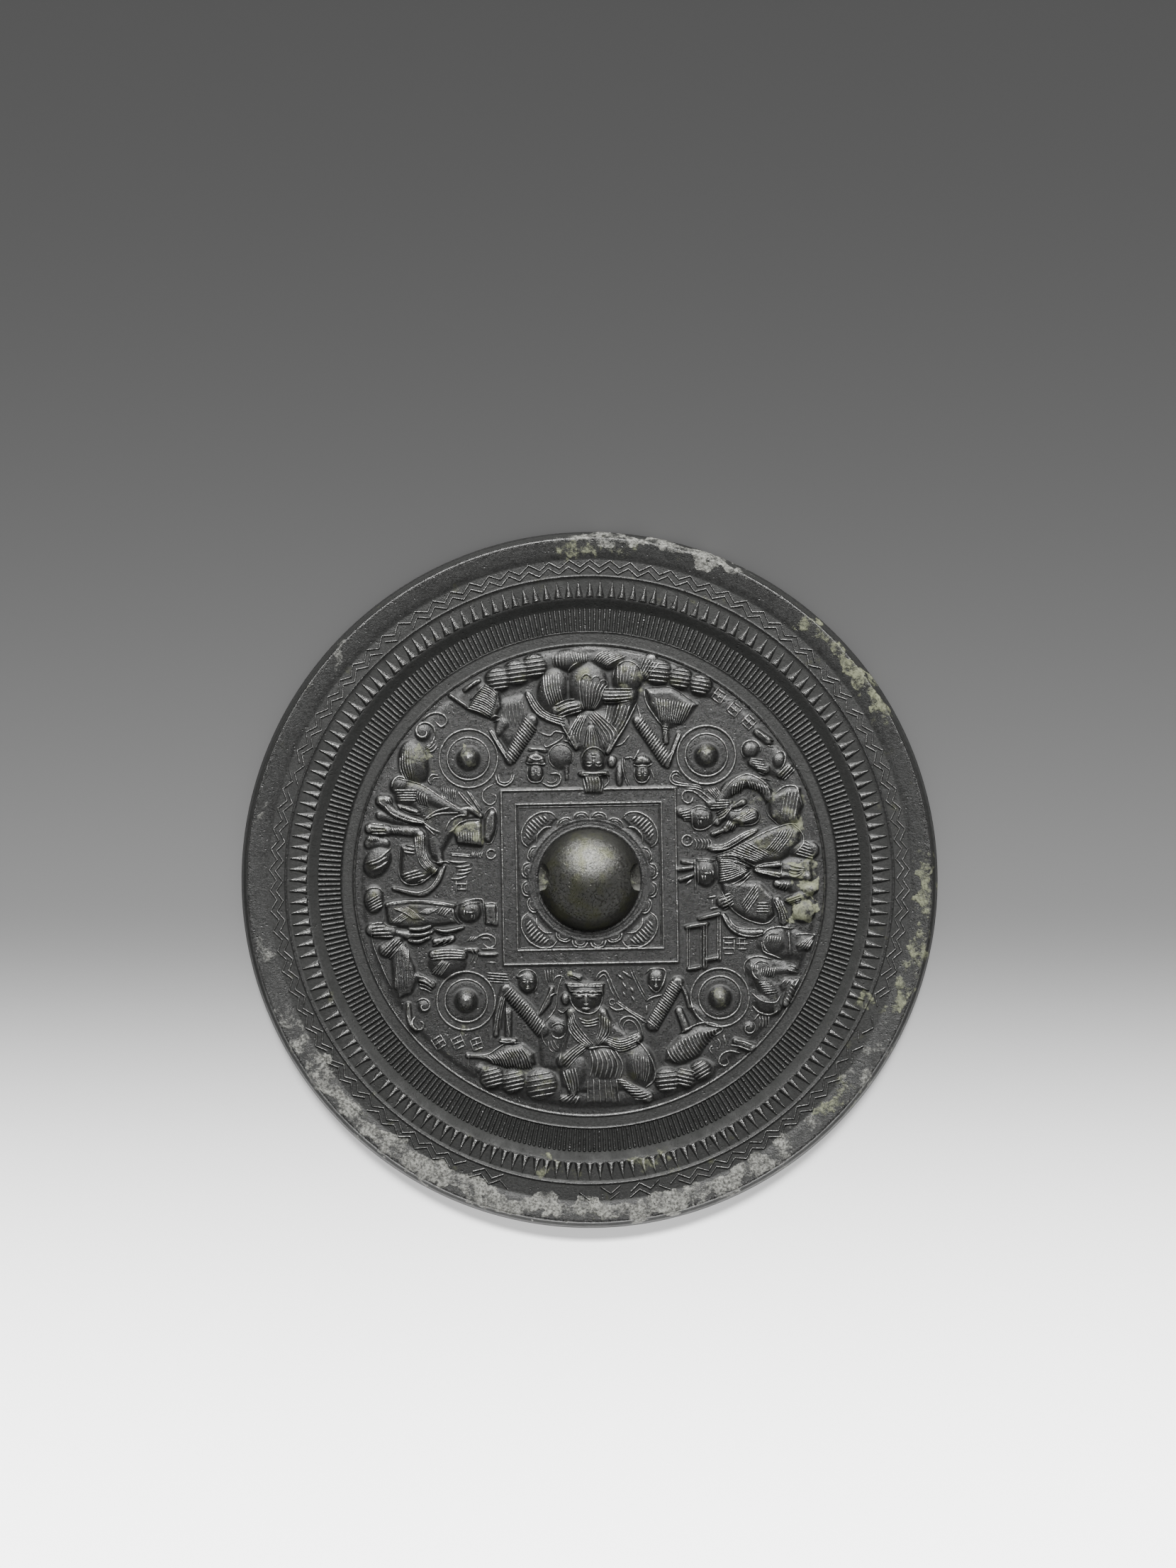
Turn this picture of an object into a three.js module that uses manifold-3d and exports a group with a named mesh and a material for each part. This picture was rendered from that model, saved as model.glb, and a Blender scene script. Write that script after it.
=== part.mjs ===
// A cast bronze mirror, lying on its reflecting face with the ornamented back up.
// Millimetres, +Z up. The origin is the centre of the flat spot that the mirror rests on.
// Rings of ornament run round the rim. The field inside them holds a pierced knob in a square
// frame, a nipple at each corner of the square, and a group of figures on each side of it.

import * as THREE from 'three';
import { mergeVertices } from 'three/addons/utils/BufferGeometryUtils.js';
import Module from 'manifold-3d';

const wasm = await Module();
wasm.setup();

// ---- Driving dimensions ----

const MIRROR_RADIUS = 105;
const DISC_SIDES = 48;

// The reflecting face is gently convex, with a flat spot in the middle.
const REST_RADIUS = 40;
const FACE_RISE = 1.4;
const FACE_STEPS = 2;

// Heights above the resting plane.
const FIELD_TOP = 3.2;
const COMB_TOP = 3.3;
const SAW_TOP = 5.0;
const ZIGZAG_TOP = 5.3;
const RIM_TOP = 6.6;
const RIDGE_RISE = 0.35;

// Radii of the rings, from the field outwards.
const FIELD_RADIUS = 67;
const RING_INNER = 71.1;
const RING_OUTER = 74.8;
const COMB_OUTER = 82;
const SAW_INNER = 84.9;
const SAW_OUTER = 90.4;
const ZIGZAG_INNER = 91.6;
const RIM_INNER = 96.7;
const RIM_CREST = 102.8;
const RIDGE_WIDTH = 0.6;

// The triangular teeth of the saw-tooth ring.
const TOOTH_COUNT = 168;
const TOOTH_RISE = 0.4;
const TOOTH_GAP = 0.5;

// The domed knob, the channel through it for the cord, and the collar round its foot.
const KNOB_RADIUS = 15.3;
const KNOB_RISE = 9.95;
const KNOB_SIDES = 28;
const KNOB_STEPS = 5;
const CHANNEL_WIDTH = 8.6;
const CHANNEL_HEIGHT = 5.4;
const CHANNEL_CENTRE_Y = 0.8;
const COLLAR_RADIUS = 18.4;
const COLLAR_RISE = 0.45;
const KNOB_FOOT = FIELD_TOP + COLLAR_RISE;

// The square frame round the knob.
const FRAME_CENTRE_Y = 1.1;
const FRAME_TURN = 1;
const FRAME_HALF = 26.2;
const FRAME_BAND = 4.3;
const FRAME_RISE = 0.4;
const FRAME_RIDGE = 0.6;

// The four nipples, each in two rings.
const NIPPLE_PLACES = [[-36.5, 36.6], [35.2, 37.7], [-37.2, -36.4], [39.3, -35.4]];
const NIPPLE_RADIUS = 3.8;
const NIPPLE_RISE = 4.5;
const NIPPLE_RINGS = [6.4, 8.7];
const NIPPLE_RING_WIDTH = 0.9;
const NIPPLE_SIDES = 12;

// How deep a raised form is rooted in the metal under it.
const ROOT = 0.6;

// Rises of the relief above the field.
const HIGH = 2.6;
const MIDDLE = 2.0;
const LOW = 1.4;
const LOBE_SIDES = 8;
const RIB_WIDTH = 1.1;
const RIB_RISE = 0.5;

// ---- Solids ----

const turned = (degrees) => THREE.MathUtils.degToRad(degrees);

function solidFrom(geometry) {
  const plain = geometry.toNonIndexed ? geometry.clone() : geometry;
  plain.deleteAttribute('normal');
  plain.deleteAttribute('uv');
  const merged = mergeVertices(plain, 1e-4);
  return new wasm.Manifold(new wasm.Mesh({
    numProp: 3,
    vertProperties: new Float32Array(merged.attributes.position.array),
    triVerts: new Uint32Array(merged.index.array),
  }));
}

function geometryFrom(solid) {
  const mesh = solid.getMesh();
  const geometry = new THREE.BufferGeometry();
  geometry.setAttribute('position', new THREE.BufferAttribute(mesh.vertProperties, mesh.numProp));
  geometry.setIndex(new THREE.BufferAttribute(mesh.triVerts, 1));
  geometry.computeVertexNormals();
  return geometry;
}

// Turns a profile of [radius, height] pairs about the Z axis.
function spun(profile, sides) {
  const points = profile.map(([radius, height]) => new THREE.Vector2(radius, height));
  return new THREE.LatheGeometry(points, sides).rotateX(Math.PI / 2);
}

// Raises a flat outline from its root in the metal to a height above the field.
function raised(shape, rise, foot = FIELD_TOP) {
  const settings = { depth: ROOT + rise, bevelEnabled: false, curveSegments: 12 };
  return new THREE.ExtrudeGeometry(shape, settings).translate(0, 0, foot - ROOT);
}

// ---- Disc, rim, knob and frames ----

// The convex reflecting face, from the edge of the disc in to the flat spot.
function facePoints() {
  const points = [];
  for (let step = FACE_STEPS; step >= 0; step -= 1) {
    const share = step / FACE_STEPS;
    const radius = REST_RADIUS + (MIRROR_RADIUS - 0.4 - REST_RADIUS) * share;
    points.push([radius, FACE_RISE * share * share]);
  }
  return points;
}

function ridgePoints(radius, low) {
  const half = RIDGE_WIDTH / 2;
  return [[radius + half, low], [radius, low + RIDGE_RISE], [radius - half, low]];
}

function disc() {
  const outside = [
    [MIRROR_RADIUS, FACE_RISE + 0.5],
    [RIM_CREST + 0.2, RIM_TOP],
    [RIM_CREST - 0.6, RIM_TOP],
    [RIM_INNER, ZIGZAG_TOP],
    [ZIGZAG_INNER + 0.2, ZIGZAG_TOP],
    ...ridgePoints(ZIGZAG_INNER - RIDGE_WIDTH / 2, SAW_TOP),
    [SAW_INNER, SAW_TOP],
    [COMB_OUTER, COMB_TOP],
    ...ridgePoints(RING_OUTER, COMB_TOP - 0.1),
    ...ridgePoints(RING_INNER, FIELD_TOP - 0.15),
    [FIELD_RADIUS, FIELD_TOP],
    [0, FIELD_TOP],
  ];
  const underside = facePoints().reverse();
  return spun([[0, 0], ...underside, ...outside], DISC_SIDES);
}

// One tooth: its base on the inner edge of the ring, its point at the outer edge, where it dies away.
function tooth(angle) {
  const half = (Math.PI * SAW_INNER) / TOOTH_COUNT - TOOTH_GAP / 2;
  const outline = new THREE.Shape();
  outline.moveTo(SAW_INNER + 0.25, -half);
  outline.lineTo(SAW_OUTER - 0.3, 0);
  outline.lineTo(SAW_INNER + 0.25, half);
  const form = raised(outline, TOOTH_RISE, SAW_TOP);
  const corners = form.attributes.position;
  for (let index = 0; index < corners.count; index += 1) {
    if (corners.getX(index) > SAW_OUTER - 1 && corners.getZ(index) > SAW_TOP) {
      corners.setZ(index, SAW_TOP);
    }
  }
  return form.rotateZ(angle);
}

function sawTeeth() {
  const teeth = [];
  for (let index = 0; index < TOOTH_COUNT; index += 1) {
    teeth.push(tooth((index * 2 * Math.PI) / TOOTH_COUNT));
  }
  return teeth;
}

// The dome of the knob, cut flat where it stands on its collar.
function dome() {
  const ball = (KNOB_RADIUS ** 2 + KNOB_RISE ** 2) / (2 * KNOB_RISE);
  const widest = Math.asin(KNOB_RADIUS / ball);
  const profile = [[0, KNOB_FOOT]];
  for (let step = KNOB_STEPS; step > 0; step -= 1) {
    const angle = (widest * step) / KNOB_STEPS;
    profile.push([ball * Math.sin(angle), KNOB_FOOT + KNOB_RISE - ball * (1 - Math.cos(angle))]);
  }
  profile.push([0, KNOB_FOOT + KNOB_RISE]);
  return spun(profile, KNOB_SIDES);
}

// The arched way through the knob from left to right, open along its foot.
function cordChannel() {
  const half = CHANNEL_WIDTH / 2;
  const spring = CHANNEL_HEIGHT - half;
  const arch = new THREE.Shape();
  arch.moveTo(-half, -ROOT);
  arch.lineTo(half, -ROOT);
  arch.lineTo(half, spring);
  arch.absarc(0, spring, half, 0, Math.PI, false);
  const length = 2 * KNOB_RADIUS + 2;
  return new THREE.ExtrudeGeometry(arch, { depth: length, bevelEnabled: false, curveSegments: 8 })
    .translate(0, 0, -length / 2)
    .rotateX(Math.PI / 2)
    .rotateZ(Math.PI / 2)
    .translate(0, CHANNEL_CENTRE_Y, KNOB_FOOT);
}

function collar() {
  const floor = FIELD_TOP + COLLAR_RISE / 3;
  return spun([
    [0, FIELD_TOP - ROOT],
    [COLLAR_RADIUS + 0.4, FIELD_TOP - ROOT],
    [COLLAR_RADIUS + 0.4, FIELD_TOP],
    [COLLAR_RADIUS, KNOB_FOOT],
    [COLLAR_RADIUS - 0.6, KNOB_FOOT],
    [COLLAR_RADIUS - 0.9, floor],
    [KNOB_RADIUS + 0.9, floor],
    [KNOB_RADIUS + 0.6, KNOB_FOOT],
    [0, KNOB_FOOT],
  ], KNOB_SIDES);
}

function squareOutline(half) {
  const outline = new THREE.Shape();
  outline.moveTo(-half, -half);
  outline.lineTo(half, -half);
  outline.lineTo(half, half);
  outline.lineTo(-half, half);
  return outline;
}

function squareBand(outerHalf, width, rise) {
  const outline = squareOutline(outerHalf);
  outline.holes.push(squareOutline(outerHalf - width));
  return raised(outline, rise).rotateZ(turned(FRAME_TURN)).translate(0, FRAME_CENTRE_Y, 0);
}

function squareFrame() {
  return [
    squareBand(FRAME_HALF, FRAME_BAND, FRAME_RISE / 2),
    squareBand(FRAME_HALF, FRAME_RIDGE, FRAME_RISE * 2),
    squareBand(FRAME_HALF - FRAME_BAND + FRAME_RIDGE, FRAME_RIDGE, FRAME_RISE * 2),
  ];
}

function nippleRing(radius) {
  const half = NIPPLE_RING_WIDTH / 2;
  return spun([
    [radius - half, FIELD_TOP - ROOT],
    [radius + half, FIELD_TOP - ROOT],
    [radius + half, FIELD_TOP],
    [radius, FIELD_TOP + RIDGE_RISE * 1.6],
    [radius - half, FIELD_TOP],
    [radius - half, FIELD_TOP - ROOT],
  ], NIPPLE_SIDES);
}

function nipple([x, y]) {
  const cone = spun([
    [0, FIELD_TOP - ROOT],
    [NIPPLE_RADIUS, FIELD_TOP - ROOT],
    [NIPPLE_RADIUS, FIELD_TOP],
    [NIPPLE_RADIUS * 0.72, FIELD_TOP + NIPPLE_RISE * 0.5],
    [0, FIELD_TOP + NIPPLE_RISE],
  ], NIPPLE_SIDES);
  return [cone, ...NIPPLE_RINGS.map(nippleRing)].map((geometry) => geometry.translate(x, y, 0));
}

// ---- Forms of the relief ----

// A rounded swelling: a head, knee, cushion or shoulder.
function lobe(x, y, halfWidth, halfLength, rise = MIDDLE, turn = 0) {
  const large = Math.max(halfWidth, halfLength) > 5;
  const steps = large ? 3 : 2;
  const profile = [[0, -ROOT], [1, -ROOT]];
  for (let step = 0; step <= steps; step += 1) {
    const angle = (step * Math.PI) / (2 * steps);
    profile.push([Math.cos(angle), rise * Math.sin(angle)]);
  }
  profile[profile.length - 1][0] = 0;
  return spun(profile, LOBE_SIDES)
    .scale(halfWidth, halfLength, 1)
    .rotateZ(turned(turn))
    .translate(x, y, FIELD_TOP);
}

// A straight form with sloping sides, from one end to the other: a limb, wing, post or brim.
function limb([x1, y1], [x2, y2], width, rise = MIDDLE, endWidth = width) {
  const length = Math.hypot(x2 - x1, y2 - y1);
  const shape = new THREE.Shape();
  shape.moveTo(0, -width / 2);
  shape.lineTo(length, -endWidth / 2);
  shape.lineTo(length, endWidth / 2);
  shape.lineTo(0, width / 2);
  const form = raised(shape, rise, 0);
  const inset = Math.min(width, endWidth) * 0.22;
  const corners = form.attributes.position;
  for (let index = 0; index < corners.count; index += 1) {
    if (corners.getZ(index) > 0) {
      corners.setY(index, corners.getY(index) - Math.sign(corners.getY(index)) * inset);
      corners.setX(index, corners.getX(index) + (corners.getX(index) > 0 ? -inset : inset));
    }
  }
  return form.rotateZ(Math.atan2(y2 - y1, x2 - x1)).translate(x1, y1, FIELD_TOP);
}

// A sharp rib that stands on a form of the given rise, from one end to the other.
function rib([x1, y1], [x2, y2], rise) {
  const section = new THREE.Shape();
  section.moveTo(-RIB_WIDTH / 2, -ROOT);
  section.lineTo(RIB_WIDTH / 2, -ROOT);
  section.lineTo(0, RIB_RISE);
  const length = Math.hypot(x2 - x1, y2 - y1);
  return new THREE.ExtrudeGeometry(section, { depth: length, bevelEnabled: false })
    .rotateX(Math.PI / 2)
    .rotateZ(Math.atan2(y2 - y1, x2 - x1) + Math.PI / 2)
    .translate(x1, y1, FIELD_TOP + rise);
}

// Equal forms at even steps from the first place to the last.
function rowOf(count, [x1, y1], [x2, y2], make) {
  const row = [];
  for (let index = 0; index < count; index += 1) {
    const share = count > 1 ? index / (count - 1) : 0;
    row.push(make(x1 + (x2 - x1) * share, y1 + (y2 - y1) * share, share));
  }
  return row;
}

const cushions = (count, from, to, size) =>
  rowOf(count, from, to, (x, y) => lobe(x, y, size, size * 1.1, MIDDLE));

// Long folds that fan out from one line to another.
function folds(count, [fromStart, fromEnd], [toStart, toEnd], rise) {
  const mix = (a, b, share) => a + (b - a) * share;
  return rowOf(count, [0, 0], [1, 0], (share) => rib(
    [mix(fromStart[0], fromEnd[0], share), mix(fromStart[1], fromEnd[1], share)],
    [mix(toStart[0], toEnd[0], share), mix(toStart[1], toEnd[1], share)],
    rise,
  ));
}

// Ribs across a wing or sleeve that runs from one end to the other.
function ribsAcross(count, [x1, y1], [x2, y2], width, rise) {
  const length = Math.hypot(x2 - x1, y2 - y1);
  const acrossX = (-(y2 - y1) / length) * (width / 2);
  const acrossY = ((x2 - x1) / length) * (width / 2);
  return rowOf(count, [x1, y1], [x2, y2], (x, y) =>
    rib([x - acrossX, y - acrossY], [x + acrossX, y + acrossY], rise));
}

// ---- The four groups of figures, all with their heads towards the knob ----

// Below the knob: a seated deity in a flat crown between two kneeling attendants.
function lowerDeity() {
  return [
    limb([-7, -32.3], [4.2, -32.3], 3.4, LOW),
    lobe(-1, -36.2, 4.7, 4, HIGH),
    lobe(-1.2, -44.8, 6.6, 7.4, MIDDLE),
    lobe(9.2, -48.8, 5, 3.5, HIGH),
    lobe(-5, -58, 4.2, 9, HIGH, -6),
    lobe(3.6, -56, 5.2, 6, MIDDLE),
    lobe(13.6, -57, 4.6, 6.8, HIGH),
    lobe(3.4, -63.6, 8, 3.8, LOW),
    limb([8, -36.5], [17, -42], 1.2, LOW),
    ...folds(4, [[0.5, -51.5], [6.2, -51.2]], [[-0.5, -60], [8.6, -60]], MIDDLE),
    ...folds(3, [[-5.6, -39], [-3.4, -40.4]], [[-2.4, -49], [-1.6, -49]], MIDDLE),
    ...folds(3, [[3.2, -40], [5, -41.4]], [[-0.6, -49], [0.4, -49.4]], MIDDLE),
  ];
}

function lowerAttendants() {
  return [
    lobe(-18.5, -31, 3.1, 3.6, MIDDLE),
    limb([-25, -33], [-15.6, -43.8], 4.6, MIDDLE),
    ...ribsAcross(6, [-23.2, -35.2], [-17.2, -42], 2.4, MIDDLE),
    limb([-25.6, -33], [-25, -48.5], 4.2, LOW),
    lobe(-21.5, -53.2, 9.5, 4.2, MIDDLE, -6),
    limb([-15, -42], [-12, -33], 2.2, LOW),
    lobe(-10, -46, 2.7, 3.2, LOW),
    ...cushions(3, [-30, -60], [-15.5, -62], 3.7),
    lobe(19.5, -30, 2.9, 3.6, MIDDLE),
    limb([26.5, -30.5], [19, -42], 4.6, MIDDLE),
    ...ribsAcross(6, [25, -32.8], [20.4, -39.8], 2.4, MIDDLE),
    limb([27, -31], [27.6, -42], 4.2, LOW),
    lobe(28.6, -42.6, 2.8, 3.6, MIDDLE),
    lobe(30, -48.6, 8, 3.7, MIDDLE, -12),
    ...cushions(2, [22, -60.6], [29.4, -59.6], 3.9),
  ];
}

// Above the knob: a second seated deity in a tall hat, with attendants.
function upperDeity() {
  return [
    limb([1.5, 26.4], [1.5, 31], 6, LOW),
    limb([-2.6, 31.9], [5.2, 31.9], 1.4, MIDDLE),
    lobe(1.5, 36, 4.5, 4.1, HIGH),
    lobe(0.4, 45.4, 6.4, 7, MIDDLE),
    ...folds(3, [[-5.4, 44], [-2.6, 41]], [[-2, 50], [-0.8, 50.2]], MIDDLE),
    ...folds(3, [[3.6, 41], [6.4, 43.4]], [[0.4, 50.2], [1.6, 50]], MIDDLE),
    lobe(8.4, 49, 4, 3.8, MIDDLE),
    lobe(-11.2, 56.6, 4.1, 6.8, HIGH),
    lobe(-0.5, 58.6, 5.8, 6.2, HIGH),
    lobe(10.2, 59.6, 4.4, 5.4, HIGH),
    ...rowOf(3, [-12, 66.2], [3.4, 66.4], (x, y) => lobe(x, y, 3.2, 2, LOW)),
    lobe(-8.7, 37.5, 3.5, 3.5, LOW),
  ];
}

function upperAttendants() {
  return [
    limb([-28, 46.5], [-23, 34.6], 5, MIDDLE, 3.6),
    limb([-17.5, 48.4], [-22.4, 37], 4.2, MIDDLE),
    ...ribsAcross(6, [-18.3, 46.4], [-21.5, 39], 2.2, MIDDLE),
    lobe(-32.2, 54, 3.8, 6, MIDDLE, -36),
    lobe(-16, 33, 2.7, 3.1, LOW),
    ...cushions(3, [-28, 60], [-17, 63.6], 3.3),
    limb([14, 50.4], [22, 36], 4.4, MIDDLE),
    ...ribsAcross(7, [15.1, 48.3], [20.8, 38.1], 2.3, MIDDLE),
    limb([27.2, 44.6], [23, 34], 4.4, MIDDLE, 3.4),
    lobe(24.6, 52.4, 8.6, 5.2, MIDDLE, -12),
    lobe(15.8, 32.5, 2.7, 3.1, LOW),
    ...cushions(3, [19, 63.4], [32, 59.6], 3.3),
  ];
}

// Left of the knob: two kneeling figures in hats, with a child between their trains.
function leftFigures() {
  return [
    lobe(-53.8, 35.2, 3.9, 6.4, HIGH, 12),
    limb([-57.5, 28.6], [-33, 19.6], 6.4, MIDDLE, 3.4),
    limb([-63, 23.6], [-50, 17.6], 5.4, MIDDLE),
    ...ribsAcross(7, [-61, 22.7], [-52, 18.6], 2.8, MIDDLE),
    lobe(-37, 15, 4.6, 4.2, HIGH),
    lobe(-31, 17, 2.1, 5, LOW),
    lobe(-53, 4, 5.6, 6.2, HIGH),
    lobe(-64.4, 14, 3.1, 4.2, MIDDLE),
    lobe(-64, 5, 2.8, 4, MIDDLE),
    lobe(-46, 7.6, 3.4, 4.6, MIDDLE, -30),
    limb([-62, -7], [-40, -10.8], 6.4, MIDDLE),
    ...ribsAcross(6, [-52, -8.8], [-42, -10.4], 3.4, MIDDLE),
    lobe(-36, -9, 3.4, 3.6, HIGH),
    lobe(-30.4, -10, 2.3, 4.4, LOW),
    lobe(-65.4, -5.6, 2.9, 4, MIDDLE),
    lobe(-61, -15, 3.1, 2.7, MIDDLE),
    lobe(-61, -20.6, 3.6, 2.6, LOW),
    lobe(-43, -24.4, 4.8, 5, MIDDLE),
    lobe(-56, -27.6, 3.4, 7, MIDDLE),
  ];
}

// Right of the knob: two kneeling figures, a pavilion, and beasts at the corners.
function rightFigures() {
  return [
    lobe(47.4, 25.4, 8.8, 6.2, HIGH),
    lobe(60, 24, 4.4, 4.8, MIDDLE),
    lobe(33.4, 19, 3.7, 3.2, HIGH),
    lobe(28.6, 20.4, 2, 3.8, LOW),
    limb([40, 17.4], [54, 21], 5.2, MIDDLE),
    limb([38.6, 7.6], [62, 15.6], 6.6, MIDDLE),
    ...ribsAcross(7, [42.4, 8.9], [58.6, 14.4], 3.4, MIDDLE),
    lobe(34.2, 3, 3.6, 3.2, HIGH),
    lobe(43.4, 3, 5.2, 4.4, MIDDLE),
    lobe(54.6, 3.8, 4.6, 2.2, MIDDLE),
    lobe(62.6, 2.6, 3.1, 2.4, MIDDLE),
    lobe(64, -3.2, 2.7, 2.2, LOW),
    lobe(63.6, -9, 2.9, 2.4, LOW),
    lobe(50, -7.2, 7.4, 5.8, HIGH),
  ];
}

function pavilion() {
  const posts = rowOf(2, [29.8, -20], [34.4, -20], (x) => limb([x, -14], [x, -26.4], 1, LOW));
  return [
    ...posts,
    limb([38.8, -11.4], [38.8, -24], 1.2, LOW),
    limb([28.6, -13.6], [35.4, -13.4], 1.6, LOW),
    limb([33.4, -11], [39.6, -10.8], 1.6, LOW),
    limb([29.6, -26.8], [34.6, -26.4], 1.6, LOW),
    limb([35.4, -23.8], [39.2, -23.4], 1.4, LOW),
  ];
}

function beasts() {
  return [
    lobe(56, -18.4, 4.6, 3.8, MIDDLE),
    lobe(65, -19, 2.9, 4, LOW),
    lobe(53.4, -33.4, 4.8, 7.2, MIDDLE, 10),
    lobe(61, -31.6, 3, 6, LOW, -28),
    lobe(48.4, 39, 2.9, 2.7, MIDDLE),
    lobe(57, 35.8, 2.7, 3.2, LOW),
    lobe(32.6, -56.6, 3.4, 2.4, LOW),
  ];
}

// The palmette at each corner of the knob's collar.
function palmettes() {
  const places = [[-14, 17], [15.2, 16.8], [-15.4, -15.4], [16.6, -14.4]];
  return places.map(([x, y]) => {
    const outwards = THREE.MathUtils.radToDeg(Math.atan2(y, x));
    return lobe(x, y, 3.6, 2.6, LOW * 0.7, outwards - 90);
  });
}

// ---- The casting, parted at the foot of the knob ----

function discGeometry() {
  const forms = [
    collar(),
    ...squareFrame(),
    ...NIPPLE_PLACES.flatMap(nipple),
    ...palmettes(),
    ...lowerDeity(),
    ...lowerAttendants(),
    ...upperDeity(),
    ...upperAttendants(),
    ...leftFigures(),
    ...rightFigures(),
    ...pavilion(),
    ...beasts(),
    ...sawTeeth(),
  ];
  const relief = forms.map(solidFrom).reduce((whole, form) => whole.add(form));
  return geometryFrom(solidFrom(disc()).add(relief));
}

function knobGeometry() {
  return geometryFrom(solidFrom(dome()).subtract(solidFrom(cordChannel())));
}

function named(name, geometry) {
  const bronze = new THREE.MeshStandardMaterial({ color: 0x4a4c48, roughness: 0.45, metalness: 0.7 });
  const mesh = new THREE.Mesh(geometry, bronze);
  mesh.name = name;
  return mesh;
}

const model = new THREE.Group();
model.add(named('mirror_disc', discGeometry()), named('mirror_knob', knobGeometry()));

export default model;
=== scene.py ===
"""The finished bronze mirror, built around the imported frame: rings, knob, figures and patina."""
import logging
import math
import random
from dataclasses import dataclass, field
from enum import Enum
from typing import Callable, Optional, Sequence, Union

import bmesh
import bpy
import numpy as np
from mathutils import Matrix, Vector, noise


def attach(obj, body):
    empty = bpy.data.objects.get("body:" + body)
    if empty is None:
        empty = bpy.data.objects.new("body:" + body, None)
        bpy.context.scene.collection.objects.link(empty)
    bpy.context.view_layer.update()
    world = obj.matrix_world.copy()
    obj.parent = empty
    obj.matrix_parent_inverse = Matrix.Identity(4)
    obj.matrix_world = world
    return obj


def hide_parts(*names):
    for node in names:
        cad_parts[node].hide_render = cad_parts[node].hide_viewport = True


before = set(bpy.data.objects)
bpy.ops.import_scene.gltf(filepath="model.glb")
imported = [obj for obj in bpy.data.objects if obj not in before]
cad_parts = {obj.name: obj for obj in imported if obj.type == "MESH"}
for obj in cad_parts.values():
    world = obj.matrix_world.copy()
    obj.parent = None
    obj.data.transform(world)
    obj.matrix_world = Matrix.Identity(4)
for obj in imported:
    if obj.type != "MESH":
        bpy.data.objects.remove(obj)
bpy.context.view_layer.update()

log = logging.getLogger("bronze_mirror")

Point = tuple[float, float]
Route = Sequence[Point]
Input = Union[bpy.types.NodeSocket, float, tuple]

MM = 0.001
CAD_NODES = ("mirror_disc", "mirror_knob")
BODY = "root"
CUSHION_RISE = 2.3
CUSHION_SWELL = 0.4


class Crown(Enum):
    """The cross section of a raised form."""

    ROUND = "round"
    FLAT = "flat"


class Taper(Enum):
    """How a stroke thins towards its ends."""

    BOTH = "both"
    LEAF = "leaf"
    NONE = "none"


@dataclass(frozen=True)
class Levels:
    """Heights above the resting plane, in millimetres."""

    field: float = 3.2
    underlay: float = 2.0
    ring: float = 3.2
    comb: float = 3.1
    saw: float = 5.05
    zigzag: float = 5.3
    crest: float = 6.58
    knob_top: float = 13.6


@dataclass(frozen=True)
class Radii:
    """Radii of the rings of ornament, in millimetres."""

    dip: float = 67.6
    relief: float = 71.0
    inner_ridge: float = 71.15
    outer_ridge: float = 74.8
    comb_inner: float = 75.1
    comb_outer: float = 81.8
    saw_inner: float = 85.0
    saw_outer: float = 90.3
    saw_ridge: float = 91.5
    zigzag_outer: float = 96.6
    crest: float = 102.8
    edge: float = 105.0
    rest: float = 40.0


LEVELS = Levels()
RADII = Radii()
LEAF = Taper.LEAF
FLAT = Crown.FLAT


# Routes and small geometry helpers


def polar(radius: float, degrees: float) -> Point:
    """Return the point at a radius and an angle, counted from +X towards +Y."""
    angle = math.radians(degrees)
    return radius * math.cos(angle), radius * math.sin(angle)


def mix(first: Point, second: Point, share: float) -> Point:
    """Return the point that lies a share of the way from the first to the second."""
    return tuple(a + (b - a) * share for a, b in zip(first, second))


def smooth_route(points: Route, step: float = 0.7) -> np.ndarray:
    """Draw a smooth curve through points and cut it into even steps.

    Args:
        points: Two or more points, in millimetres.
        step: The wanted distance between the points of the result.

    Returns:
        An array of points along the curve, both ends included.
    """
    known = np.array(points, dtype=float)
    if len(known) > 2:
        ends = np.vstack([2 * known[0] - known[1], known, 2 * known[-1] - known[-2]])
        share = np.linspace(0, 1, 9)[:-1, None]
        spans = []
        for a, b, c, d in zip(ends[:-3], ends[1:-2], ends[2:-1], ends[3:]):
            spans.append(0.5 * (2 * b + (c - a) * share + (2 * a - 5 * b + 4 * c - d) * share ** 2
                                + (3 * b - a - 3 * c + d) * share ** 3))
        known = np.vstack(spans + [known[-1:]])
    lengths = np.r_[0, np.cumsum(np.hypot(*np.diff(known, axis=0).T))]
    count = max(4, int(lengths[-1] / step) + 2)
    even = np.linspace(0, lengths[-1], count)
    return np.column_stack([np.interp(even, lengths, known[:, axis]) for axis in (0, 1)])


def at_share(points: Route, share: float) -> Point:
    """Return the point a share of the way along a route, by length."""
    known = smooth_route(points, 0.4)
    return tuple(np.interp(share * (len(known) - 1), np.arange(len(known)), column) for column in known.T)


def curl(x: float, y: float, outer: float, inner: float, start: float, turn: float) -> Route:
    """Return points on an arc, or on a spiral that winds in.

    Args:
        x: Centre, to the right.
        y: Centre, upwards.
        outer: The radius that it starts with.
        inner: The radius that it ends with.
        start: The angle that it starts at, in degrees.
        turn: How far it turns, anticlockwise.

    Returns:
        The points.
    """
    shares = np.linspace(0, 1, max(6, int(abs(turn) / 20) + 2))
    places = (polar(outer + (inner - outer) * share, start + turn * share) for share in shares)
    return [(x + dx, y + dy) for dx, dy in places]


def walked(steps: Sequence[float], origin: Point = (0, 0)) -> np.ndarray:
    """Return the points of a route that a table lists as a start and the steps from it, x and y in turn."""
    return np.cumsum(np.reshape(steps, (-1, 2)), axis=0) + origin


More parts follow.
